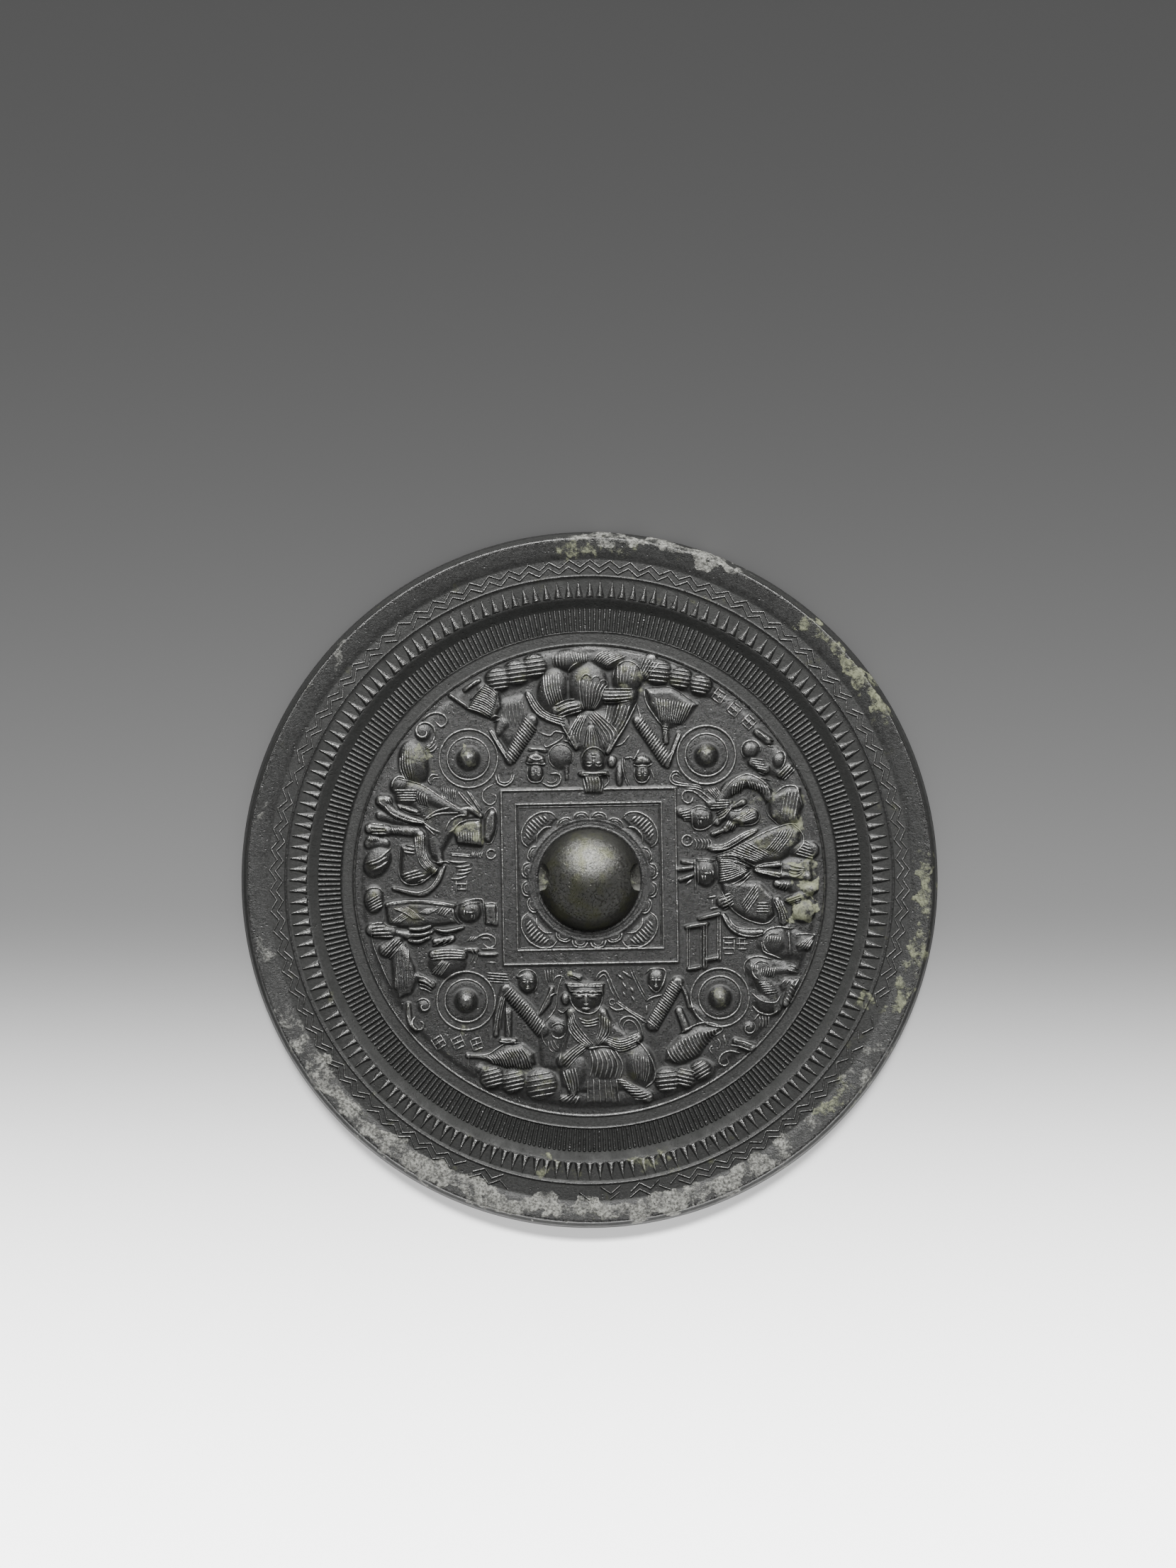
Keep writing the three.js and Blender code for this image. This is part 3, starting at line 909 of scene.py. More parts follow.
@dataclass
class FieldPart:
    """A part of the field's relief: rounded forms on the canvas, then strokes over them.

    A route in the tables is its start and then the steps from point to point, in millimetres. The second
    route of a bundle or a comb starts from the first route's start.
    """

    canvas: ReliefCanvas
    strokes: Strokes

    plates = limbs = domes = cushions = faces = curls = bundles = combs = ()
    leaves = lines = {}

    def raise_forms(self) -> None:
        """Raise the tables of plates, limbs, domes and cushions on the canvas."""
        for steps, *sizes in self.plates:
            self.canvas.plate(walked(steps), *sizes)
        for steps, *sizes in self.limbs:
            self.canvas.limb(walked(steps), *sizes)
        for values in self.domes:
            self.canvas.dome(*values)
        for x, y, half, turn in self.cushions:
            self.canvas.dome(x, y, half + CUSHION_SWELL, half, CUSHION_RISE, turn)

    def lay_strokes(self) -> None:
        """Lay the tables of faces, strokes by width, curls, folds, ribs and cushion bands."""
        for values in self.faces:
            self.calm_face(*values)
        for taper, table in ((LEAF, self.leaves), (Taper.BOTH, self.lines)):
            for width, routes in table.items():
                for steps in routes:
                    self.strokes.line(walked(steps), width, taper)
        for *shape, width in self.curls:
            self.strokes.line(curl(*shape), width)
        for lay, table in ((self.strokes.folds, self.bundles), (self.strokes.ribs, self.combs)):
            for first, last, *sizes in table:
                lay(walked(first), walked(last, first[:2]), *sizes)
        for x, y, half, turn in self.cushions:
            self.cushion(x, y, half, half * 0.88, turn)

    def cushion(self, x: float, y: float, half_width: float, half_length: float, turn: float,
                count: int = 5) -> None:
        """Lay the even bands of a cushion of cloud, across its form.

        Args:
            x: Centre, to the right.
            y: Centre, upwards.
            half_width: Half its width.
            half_length: Half its height.
            turn: The slope of its bands, in degrees.
            count: How many bands there are.
        """
        place = placer(x, y, turn)
        for up in np.linspace(0.72, -0.72, count):
            reach = half_width * math.sqrt(1 - up * up * 0.75) * 0.94
            self.strokes.line(place([(-reach, up * half_length), (reach, up * half_length)]), 0.46)

    def calm_face(self, x: float, y: float, width: float, turn: float = 0.0) -> None:
        """Lay a plain, even face: brows, closed eyes, a straight nose and a small mouth.

        Args:
            x: Centre of the head, to the right.
            y: Centre of the head, upwards.
            width: The width of the head.
            turn: The direction of its chin, in degrees from straight down.
        """
        place = placer(x, y, turn, width)
        line = self.strokes.line
        for side in (-1, 1):
            line(place([(side * 0.09, 0.2), (side * 0.23, 0.27), (side * 0.39, 0.2)]), width * 0.075)
            line(place([(side * 0.1, 0.08), (side * 0.22, 0.11), (side * 0.36, 0.07)]), width * 0.12, LEAF)
        line(place([(0, 0.2), (0, 0), (0, -0.13)]), width * 0.12)
        line(place([(-0.09, -0.15), (0, -0.18), (0.09, -0.15)]), width * 0.08)
        line(place([(-0.14, -0.3), (0, -0.32), (0.14, -0.3)]), width * 0.12, LEAF)


@dataclass
class Court(FieldPart):
    """What surrounds the knob: its collar, the square frame and the nipples."""

    frame_half: float = 26.2
    frame_band: float = 4.2
    frame_centre: float = 1.1
    frame_turn: float = 1.0
    nipples: tuple[Point, ...] = ((-36.5, 36.6), (35.2, 37.7), (-37.2, -36.4), (39.3, -35.4))

    def corner(self, half: float, index: int) -> Point:
        """Return a corner of a square of this half width, in the frame's place and turn.

        Args:
            half: Half the square's width.
            index: Which corner, anticlockwise.

        Returns:
            The corner.
        """
        angle = math.radians(45 + 90 * index + self.frame_turn)
        reach = half * math.sqrt(2)
        return reach * math.cos(angle), self.frame_centre + reach * math.sin(angle)

    def raise_forms(self) -> None:
        """Raise the collar, the frame's flat band, and the nipples in their rings."""
        canvas = self.canvas
        canvas.ridge((0, 0), 17.2, 4.2, 0.26)
        canvas.ridge((0, 0), 16.0, 0.8, 0.5)
        canvas.ridge((0, 0), 17.1, 0.6, 0.36)
        canvas.ridge((0, 0), 18.2, 0.8, 0.48)
        outer, inner = self.frame_half + 0.2, self.frame_half - self.frame_band - 0.1
        for index in range(4):
            start, end = self.corner(outer, index), self.corner(outer, index + 1)
            shift = [a - b for a, b in zip(mix(self.corner(inner, index), self.corner(inner, index + 1), 0.5),
                                           mix(start, end, 0.5))]
            canvas.plate([start, end, (end[0] + shift[0], end[1] + shift[1]),
                          (start[0] + shift[0], start[1] + shift[1])], 0.26, 0.3)
            for half in (self.frame_half, self.frame_half - self.frame_band):
                canvas.limb([self.corner(half, index), self.corner(half, index + 1)], [1.2, 1.2], 0.62, FLAT)
            canvas.plate(self.fan(90 * index, 0.35), 0.3, 0.4)
        for angle, reach in self.lobes:
            canvas.dome(*polar(reach - 1.4, angle), 1.5, 2.7, 0.42, angle)
        for spot in self.nipples:
            canvas.dome(*spot, 6.6, 6.6, 0.45, 0, Crown.FLAT)
            canvas.cone(spot, 3.9, 5.0)

    @property
    def lobes(self) -> list[Point]:
        """Return the angle and the reach of each lobe round the collar, four to a side."""
        return [(90 * side + place, reach) for side in range(4)
                for place, reach in ((-25, 20.2), (-9, 20.6), (8, 20.6), (24, 20.2))]

    def fan(self, turn: float, grow: float = 0.0) -> list[Point]:
        """Return the outline of a palmette.

        Args:
            turn: How far it is turned from the upper right corner.
            grow: How much larger it is drawn.

        Returns:
            The points round its outer edge.
        """
        return [polar(radius + grow, turn + 45 + angle) for radius, angle in (
            (20.6, -17), (23.2, -15.5), (25.2, -9), (25.9, 0), (25.2, 9), (23.2, 15.5), (20.6, 17))]

    def lay_strokes(self) -> None:
        """Lay the frame's ridges, the rings round the nipples, the lobes and the palmettes."""
        line = self.strokes.line
        for half, width in ((self.frame_half, 0.5), (self.frame_half - self.frame_band, 0.46),
                            (self.frame_half - self.frame_band - 0.85, 0.3)):
            for index in range(4):
                start, end = self.corner(half, index), self.corner(half, index + 1)
                gap = (0.41, 0.53) if half == self.frame_half and index == 0 else (0.5, 0.5)
                line([start, mix(start, end, gap[0])], width, Taper.NONE)
                line([mix(start, end, gap[1]), end], width, Taper.NONE)
        for spot in self.nipples:
            for radius, width in ((6.4, 0.55), (8.8, 0.6)):
                line(curl(*spot, radius, radius, 0, 360), width, Taper.NONE)
        for angle, reach in self.lobes:
            for size, width in ((1, 0.5), (0.62, 0.34)):
                line([polar(18.6 + (reach - 18.6) * rise * size, angle + size * off)
                      for rise, off in ((0.05, -7.4), (0.8, -4.8), (1, 0), (0.8, 4.8), (0.05, 7.4))], width)
        for index in range(4):
            turn = 90 * index
            line(self.fan(turn), 0.55)
            line([polar(radius, turn + 45 + angle) for radius, angle in (
                (19.5, -10), (20.7, -5), (20.9, 0), (20.7, 5), (19.5, 10))], 0.5)
            for rib in range(8):
                aside = math.degrees(math.atan((rib - 3.5) * 1.12 / 23))
                line([polar(21.5, turn + 45 + aside * 1.07),
                      polar(25.3 - 0.11 * (rib - 3.5) ** 2, turn + 45 + aside * 0.92)], 0.62)


@dataclass
class SouthGroup(FieldPart):
    """Below the knob: a seated deity in a flat crown between two attendants, over clouds."""

    domes = (
        (-1.1, -35.4, 5, 4.9, 2.5), (-4.2, -57.6, 4.6, 6.8, 2.2, -4), (4.6, -55.2, 5.6, 6.4, 2.3),
        (14.8, -56, 5.2, 7.4, 2.3, 10), (-18.7, -30.7, 2.9, 3.6, 1.9), (-7.2, -35.8, 1.5, 2, 1.4),
        (-9.4, -45.4, 2.1, 2.3, 1.1), (20.1, -30, 2.7, 3.6, 1.9),
    )
    limbs = (
        ((-5.5, -40, 1.5, -6, 4.5, -4.5), (3.6, 4.2, 2.4), 1.8), ((4, -40, 1, -4.5, -3.5, -5.5),
        (3.2, 4.4, 2.4), 1.8), ((4.5, -48.5, 5, -1, 5, 2), (3, 4.6, 3.4), 2.3), ((-1, -49.5, -7, -5),
        (3, 4.8), 2.1), ((-6.5, -58, 1.5, -6), (3.6, 3.4), 2.2), ((9.5, -61, 8, -4), (3.4, 4.2), 1.8),
        ((-8, -66, 4, 0), (2.6, 3), 1.3), ((-5.6, -28.6, 2.6, -0.8), (1, 1.4), 0.7),
        ((-33, -57, 6, -3.5, 13, -1.5, 14, -4, 16, 2, 11, 4, 8, 3), (3, 6, 9, 4, 6, 7, 6), 0.6),
        ((-21.6, -29.2, 2.6, 0.8), (0.8, 2.2), 1.3), ((-25, -33, 5.5, -5.5, 5.5, -7),
        (4.2, 4.6, 4.8), 1.3, FLAT), ((-25.8, -33.4, -1.8, -6.6, -0.6, -6.6), (2.8, 3, 1.6), 1.1),
        ((-24.5, -40, 0, -7.5), (2.6,), 1), ((-26.4, -48.2, 3.8, -0.2), (1.4, 1.6), 1.2),
        ((-36.6, -53, 6.2, -0.4), (1.6, 1.2, 2.4), 1.1), ((-15.2, -40.6, 2.6, 4, 1.2, 3.8),
        (1.2, 2.4, 1.6), 1), ((26.5, -31, -7.5, -12.5), (4.2, 4.6), 1.3, FLAT),
        ((27, -30.6, 2, -3.8, 1, -4), (1.6, 1.6, 1), 1), ((27, -39.5, 2, -5), (2.6, 3.2), 1.6),
        ((31, -38.5, 2.5, -2.5, 1, -3.5), (2.4, 3.6, 4.6), 0.8),
    )
    plates = (
        ((-7.5, -31, 12, 0, 0, -3.5, -11, 0.5), 1.6),
        ((-6, -37.5, 10, 0, 4, -5.5, 5, -4, 5.5, -6, 1.5, -6, -2.5, -4.5, -21.5, -1, -5, 2, -0.5, 7.5,
          2.5, 9), 1.3, 1.7),
        ((-1, -59, 9, 0, 1, -8.5, -10, 0), 1.2),
        ((-31.5, -53, 6.5, 3.5, 5, 0.5, 3.5, -3, 0.5, -3.5, -4, -1.5, -10, 1.5), 1.7, 2.2),
        ((-14.5, -43, 3, 2.5, 4, -2, 0, -7.5, -2, -7.5, -5.5, 0, -0.5, 9.5), 0.7, 2),
        ((22.5, -54.5, 0.5, 3.5, 4, 4.5, 6, 3, 7, -1, -3.5, -3, -3, -5.5, -6, -3), 1.7, 2.4),
    )
    combs = (
        ((-23.5, -32, 10.5, -11.5), (-3, -3, 11, -12.5), 19), ((24.5, -30, -7.5, -12.5),
        (3.5, -2.5, -7.5, -13), 19), ((-31.5, -53.5, 4, 2, 7.5, 1),
        (2.5, -2, 5, -1.5, 7, 0), 15, 0.44, 0.5), ((23, -51.5, 5.5, 4, 10, 3),
        (2.5, -3.5, 6.5, 2, 7, 7), 16, 0.44, -0.4),
    )
    faces = (
        (-1.1, -35.9, 9), (-18.6, -31.2, 4.8), (20, -30.6, 4.6),
    )
    cushions = (
        (-29.2, -59.4, 3.6, 14), (-22.9, -60.6, 3.8, 12), (-14.6, -61.6, 5, 10), (23.4, -60.4, 4, 6),
        (28.8, -59.4, 3.4, -12), (33.4, -57.2, 3.2, 30),
    )
    leaves = {
        0.75: ((9.9, -30.8, 1.5, -2.2), (12.3, -32.3, 1.1, -1.5), (10, -33.7, 1.2, -1.5),
        (12.5, -35, 1.3, -1.5), (10, -27.5, 3, -2.1), (8.6, -28.6, 1.8, -1.4)),
    }
    lines = {
        0.6: ((-7.4, -31.2, 5.8, -0.3, 6.2, 0.2),),
        0.55: ((9.7, -45, -0.7, 2, 1.4, 1.6, 2.6, 0.1, 2.2, -2.3, 1, -3.9),
        (12.5, -46.9, 3.7, -3.3, 3, -5.1, 0.4, -4.5, -2.8, -2.8), (6, -38, 2, -1.2, 2.5, 0.4)),
        0.5: ((-6.2, -34.3, 5.1, -0.3, 5.3, 0.2),
        (1.4, -30.4, 1.4, 2.2, 1.8, 0.8, 1.4, -1.8, 1.4, -3.4, 2, -4),
        (-5.9, -33.6, 0.1, -2.4, 1.5, -2.7, 2.3, -1.3, 2.5, -0.2, 2.1, 1.3, 1.2, 2.9, 0, 2.6),
        (-0.6, -50.8, 4.2, 0.6, 4.2, -0.4),
        (-21.8, -29, 1, 1.4, 2.4, 0.6, 2.2, -1.4, 0.5, -3.2, -1.3, -2.6),
        (-27.4, -48.6, 2.9, -0.4, 2.3, 0.6), (-36.6, -52.9, 5.6, 0.3, 3, 1.7, 2.6, 1.5, 5, 0.4),
        (16.8, -28.4, 1.7, 1.6, 4.1, -0.2, 0, -2.8, -1.2, -2.8, -1.5, -1.2, -2.3, 2.2),
        (17, -36.5, 2, 1.2, 3, 0.7), (17.2, -37.5, 0.1, -3), (28, -45.5, 1.4, 0.7, 1.6, -0.1),
        (26.6, -46.6, 5.4, 3, 4, 0.6, 4.2, -1.8, -3.2, -2.6)),
        0.45: ((-15.5, -41, 3.1, 6.2, 1.1, 2.3), (-13.5, -43, 3.2, 4.5, 0.7, 5.5, 1.4, 4),
        (-11.8, -35, 1.2, 0.8, 1.3, -0.1), (-9.6, -39.2, 1.6, -0.8, 1.2, 1.2)),
        0.42: ((2.4, -30.4, 1, 1.4, 1.2, 0.4, 0.8, -1.6, 1, -2.8, 1.4, -2.6),
        (-2.5, -30.2, -2, 1.4, -2, 0.5), (-11, -31, 0.5, 1.5, 1.5, 0.7, 1.4, -0.6),
        (-25, -36.6, 0.2, -5.4, 0.8, -5.2), (27.2, -31, 1.8, -3.4, 1.2, -4)),
        0.4: ((10.6, -45.4, -0.4, 1.8, 1, 1.2, 1.6, -0.1, 1.6, -1.9, 0.6, -2.6),
        (12.3, -27, 1.7, -4, 3, -5.5), (13, -26.8, 1.8, -4.2, 2.8, -5), (40, -47, 1.2, -1.6, -0.4, -1.8)),
        0.36: ((-2.3, -30.9, -2.1, 1.2, -1.8, 0.5), (-5.9, -40.6, -1.7, -7, -1.7, -8),
        (-36.3, -53.4, -0.3, -3.2), (-13.6, -41.6, -0.6, -2.4, 0, -3.6, 1.6, -3),
        (38.4, -47.6, 1, -1.6, -0.4, -1.8)),
    }
    curls = (
        (-9.4, -45.4, 2.3, 2.3, -160, 320, 0.45), (6.8, -36.8, 0.9, 0.9, 0, 360, 0.4),
    )
    bundles = (
        ((-6.5, -32, 5, 0, 5.5, 0), (0.5, -1.5, 5, 0, 5, 0), 2), ((-5, -40, 1, -3, 2.5, -3.5, 3, -3.5),
        (-1.5, -2.5, 0.5, -3, 2.5, -3, 3, -2), 5), ((3, -40, 0, -3.5, -0.5, -3, -1, -2.5),
        (3, -2.5, 0, -3.5, -1.5, -2, -2, -2), 5), ((-3.5, -41.5, 3, -1, 3.5, 1),
        (1.5, -2.5, 2, 0, 2.5, 0.5), 3), ((5, -47, 4.5, -1, 5.5, 2), (0.5, -3, 4, -1.5, 5.5, 2), 6),
        ((-2, -48.5, -3.5, -2.5, -3.5, -3), (1, -2.5, -3, -2.5, -3, -3.5), 5), ((-8, -57.5, 1, -3, 1, -3),
        (3.5, 1, 1, -4, 0, -3.5), 5), ((-6, -64.5, -3.5, -2), (3, -0.5, -1.5, -2.5), 5),
        ((0, -51, 1, -4, -1, -4.5), (7.5, 0, 2.5, -4.5, -1, -4.5), 7, 0.6),
        ((13.5, -51.5, -0.5, -3.5, 1, -5), (4, -2, 0.5, -3.5, -1, -4), 7, 0.36),
        ((8, -60, 2.5, -0.5, 2, -1), (5.5, -6, 3, 0, 2.5, 1), 8), ((-0.5, -60, 0, -7), (8.5, 0, 1, -7), 6),
        ((-26.5, -35, -1.5, -5.5, -1, -6), (1.5, 0, -1, -5.5, -0.5, -4.5), 4, 0.4), ((-31, -28, 6.5, -0.5),
        (0, -2.5, 7, -0.5), 4), ((-13.5, -27, 0.5, -4), (2.5, 0, 0, -3.5), 4, 0.4),
        ((-12.5, -48.5, 0.5, -2.5, 1.5, -1), (1.5, 0.5, 1, -2, 1, -1), 3, 0.36),
        ((8.5, -36.5, 4, -3, 4.5, -2.5), (-0.5, -0.5, 4.5, -3, 4.5, -3), 2),
    )


@dataclass
class NorthGroup(FieldPart):
    """Above the knob: a second seated deity in a tall hat, with attendants, heads to the knob."""

    domes = (
        (1.2, 35.8, 3.5, 4.1, 2.5), (11.4, 61, 4.7, 5.8, 2.5, -12), (-0.4, 58.2, 6.2, 7.6, 2.5),
        (-11.2, 57, 4.7, 7.2, 2.3, -10), (-6, 66.2, 5.6, 3.4, 2), (5.6, 66.4, 5.8, 3.2, 1.8),
        (-8.7, 37.2, 3.7, 3.9, 0.9), (-16.2, 32.4, 2.4, 3, 1.8), (6.7, 35.8, 1.7, 2, 1.6),
        (9, 31.8, 1.3, 3.9, 1.1), (15.9, 32.2, 2.4, 3, 1.8),
    )
    limbs = (
        ((-2.8, 32, 7.6, 0.2), (1.3, 1.6), 1.7), ((0.5, 47, 0.5, -9), (2.4, 5.2, 7.4), 1.9),
        ((-8.5, 49.5, 4.5, -9.5), (3.6, 3, 2), 1.4), ((11.8, 62, -0.4, -7, -2, -7, -4, -9.4),
        (7, 6.6, 5, 3.6, 1.8), 1.8), ((4.5, 55.5, 7.5, 0), (4.4,), 2.4), ((-10, 51, 7, 1.5), (4, 4.2), 2.1),
        ((-18.5, 56, 2.5, -4.5, 3.5, -2.5, 5.5, -1.5), (2, 2.6, 2.6, 2.4), 1.1),
        ((-16, 66.5, 16, 2.5, 16, -2), (2.4, 3, 2.4), 0.5), ((18.5, 66, -2, -4), (4.8, 4.4), 1.5),
        ((-32, 57.5, 8, 3.5, 10, 4, 14, 2, 16, -2, 10, -4, 10, -4), (4, 8, 6, 4, 6, 7, 4), 0.7),
        ((-29.6, 45, 5.6, -9.4), (1.2, 2), 1.3), ((-17.5, 48, -6.5, -11.5), (4.4, 3.8), 1.3, FLAT),
        ((-26, 47, -1.5, -2.5), (5, 3), 1.3), ((-18, 39.2, 4.7, -0.2), (1, 1.4), 0.9), ((-7, 34, 0.2, -3.6),
        (1.8, 0.8), 0.5), ((14.5, 48, 8.5, -12), (3.6, 4.2), 1.3, FLAT), ((26.8, 44, -3.4, -9.4),
        (1.2, 2), 1.3), ((22.8, 47.5, 0.2, -5.9), (2.6, 1.8), 1.3),
    )
    plates = (
        ((-2, 32, 5.5, 0, 0.5, -3, 0, -3, -5.5, 0), 1.5),
        ((-1, 52, -6, -5.5, 2.5, -7.5, 10.5, -0.5, 3, 5.5, -4, 6.5), 1.1, 1.8),
        ((-27, 54.5, 7, 1.5, 2.5, -6, -3, -7, -4, -4, -4, 5.5, 0, 4.5), 0.8, 2.4),
        ((-19.5, 35.5, 1, 2.5, 2.5, 1, 2.5, -1.5, 0.5, -2.5, -3, -1), 1.6, 1.2),
        ((16.5, 58, 8.5, 0.5, 8, -5.5, -3.5, -4.5, -5, -3, -3.5, 1.5, -3.5, 5), 1.5, 2.2),
        ((13, 35, 1, 2.5, 2, 0.5, 2, -1, 1, -1.5, -3, -1.5), 1.5, 1.2),
    )
    combs = (
        ((-19.5, 49.5, -6, -11.5), (4, -4, -7, -10.5), 15, 0.52), ((13.5, 46.5, 8.5, -12.5),
        (2.5, 3, 9, -11.5), 16, 0.52), ((19.5, 55, 12, -2), (1.5, -7, 7, -1.5), 14),
    )
    faces = (
        (1.2, 35.9, 6.2, 180), (-16.2, 32.6, 4, 180), (15.9, 32.4, 3.9, 180),
    )
    cushions = (
        (-27.5, 60.4, 3.9, 8), (-22, 62.4, 4.1, 8), (-16.6, 64.4, 3.9, 8), (20.8, 62.6, 4.1, -6),
        (27.4, 60.8, 3.6, -8), (33.4, 58.8, 3.4, -10),
    )
    lines = {
        0.6: ((-2.9, 32.4, 3.9, -0.3, 3.6, 0.2, 1.6, -1.1),
        (-14.3, 29.3, 2.4, -1.1, 2.4, 0.6, 0.9, 2, -1, 1.3, -2.3, -0.1),
        (-28.4, 31.7, 0.8, -2.5, 2.3, -0.8, 1.9, 1.4, 0.7, 2)),
        0.55: ((27.8, 31.2, -1.2, 1.5, -1.5, -0.2, -1, -2, 1.3, -1.6, 3, -0.5, 3.9, -0.4, 1.9, -0.8),),
        0.5: ((-9, 47.8, 4.8, -8.2), (14.2, 53.4, -3.2, -6.4, -3.4, -5.4, -2, -3.7),
        (-2.6, 60.2, 0.8, 1.5, 1.4, 0.2, 0.8, -1.1), (0.4, 60, 1, 1.3, 1.4, -0.1, 0.4, -1.2),
        (-14.9, 44.4, 3, -0.9, 1.5, 1.3, 2.8, -0.5), (-13.8, 41, 1, -0.9, 4.2, 2.4, 0.6, 1.3),
        (-8, 42, 1.7, -0.4, 1.1, -1.3), (-18.4, 39.6, 5.4, -0.4),
        (-19.4, 35.4, 1.6, -0.5, 1.6, 0.2, 1.8, -0.3, 1.5, 0.4), (14.1, 54, 1.3, -5.2),
        (16.4, 57.6, 0.5, -3.6, 2.1, -3.8, 2.8, -3.6), (10.2, 36.6, 2.4, 0.4, 0.7, -0.7, 1.7, 3.1),
        (13, 34.8, 1.6, -0.5, 1.4, 0.2, 1.6, -0.2, 1.4, 0.9)),
        0.45: ((5.2, 31.6, 0.6, -1.8, -1.8, -2.2),
        (-2.1, 34, -0.3, 3, 1.4, 2.2, 2.2, 0.8, 2.3, -0.8, 1.3, -2.2, -0.3, -3),
        (7, 60.4, 0.6, 3, 2, 2.2, 3, 0.2, 2.6, -2.2, 0.6, -3.2), (3, 59.4, 1, 0.9, 1.2, -0.5, 0, -1.2),
        (-30.2, 45.2, 3.4, -5.8, 3, -4.5), (27.4, 44.2, -3.8, -9.8), (9.8, 37.2, 0.4, -4.7, 1.3, -4.1),
        (7.6, 40.3, 2.2, 0.8, 2.2, 2.6), (18.4, 33.6, 1.2, -3.4)),
        0.42: ((-18.9, 37.4, 2.7, -1.2, 2.8, 0.6), (-18.6, 34, -0.2, -2.6, 1.2, -1.8, 2.7, 0, 1.1, 1.8),
        (13.6, 33.8, -0.1, -2.4, 1.1, -1.8, 2.4, 0, 1.2, 2)),
        0.4: ((27, 31, -0.6, 0.9, -1.1, -0.2, -0.4, -1.2, 0.8, -0.8, 2.7, -0.7, 3.9, -0.4, 1.9, -0.9),
        (-2.4, 31.6, 6.8, -0.1), (-6.6, 60, 0.4, 3.4, 2.6, 2.2),
        (-27.5, 31.7, 0.5, -2, 1.7, -0.4, 1.5, 0.8, 0.2, 1.7)),
        0.36: ((-13, 29.8, 1.4, -0.6, 1.4, 0.5, 0.4, 1.1), (10.4, 36.8, 0.5, -4.3, 1.3, -4.1),
        (17, 57.9, 7.6, 0.1, 7.4, -4.8)),
    }
    curls = (
        (-8.7, 37.2, 3.7, 3.7, -40, 290, 0.36),
    )
    bundles = (
        ((-2, 31, 0.5, -2, 0.5, -2.5), (5.5, 0, 0.5, -2, -0.5, -2.5), 7),
        ((-0.5, 46.5, -1, -3.5, -0.5, -3.5), (2, 0.5, 2, -4, 1, -3.5), 8, 0.4),
        ((-2.5, 50.5, -2, -3, -2, -4, 0.5, -3), (1.5, -1, -1, -2.5, -1, -3, 0, -2.5), 5),
        ((1.5, 51, 3, -2.5, 3.5, -3.5, 0, -3), (-2, -1.5, 2.5, -3, 2, -3.5, 1, -2.5), 5),
        ((5.5, 53, -0.5, -3, -0.5, -2), (6.5, -0.5, -1.5, -4.5, -2, -3.5), 7), ((4, 57.5, 4, 0, 5, 0),
        (0, -4, 4, 0, 4, 0.5), 5), ((8.5, 65, 0, -6), (5.5, 0, -1.5, -6), 6),
        ((-3, 60.5, 0, -3.5, 0.5, -3.5, 1, -2.5), (8.5, -1.5, -1.5, -2, -1, -3, -2, -3), 8),
        ((-14, 62, 0.5, -5, 1.5, -4.5), (4.5, 0.5, 0.5, -5, 1, -4), 7), ((-10.5, 52.5, 3, 1.5, 3, 0.5),
        (1, -4, 3.5, 1.5, 3.5, 1), 5), ((-19, 55.5, 2.5, -4.5, 3.5, -2.5, 5.5, -2),
        (1.5, 1, 2.5, -4, 3, -2.5, 4.5, -1), 4), ((-11, 68, 0, -2, 0.5, -2), (4, 1, 0, -2.5, 0, -2), 5),
        ((-6, 69, 1.5, -4), (5, -0.5, 0, -3), 7), ((1, 66, 1.5, 2, 2.5, 1),
        (4, -1.5, 2.5, 1.5, 3.5, 1.5), 8), ((16.5, 67, -1.5, -4), (4.5, -1.5, -4, -5), 6),
        ((-26, 54, -0.5, -4, 1, -3.5), (5.5, 0.5, 1, -4.5, 0.5, -3.5), 7, 0.32), ((21.5, 46.5, 2.5, -0.5),
        (0.5, -1.5, 2, -0.5), 3, 0.4), ((22.5, 45, -0.5, -3), (1.5, 0, 0, -3), 3, 0.3),
    )


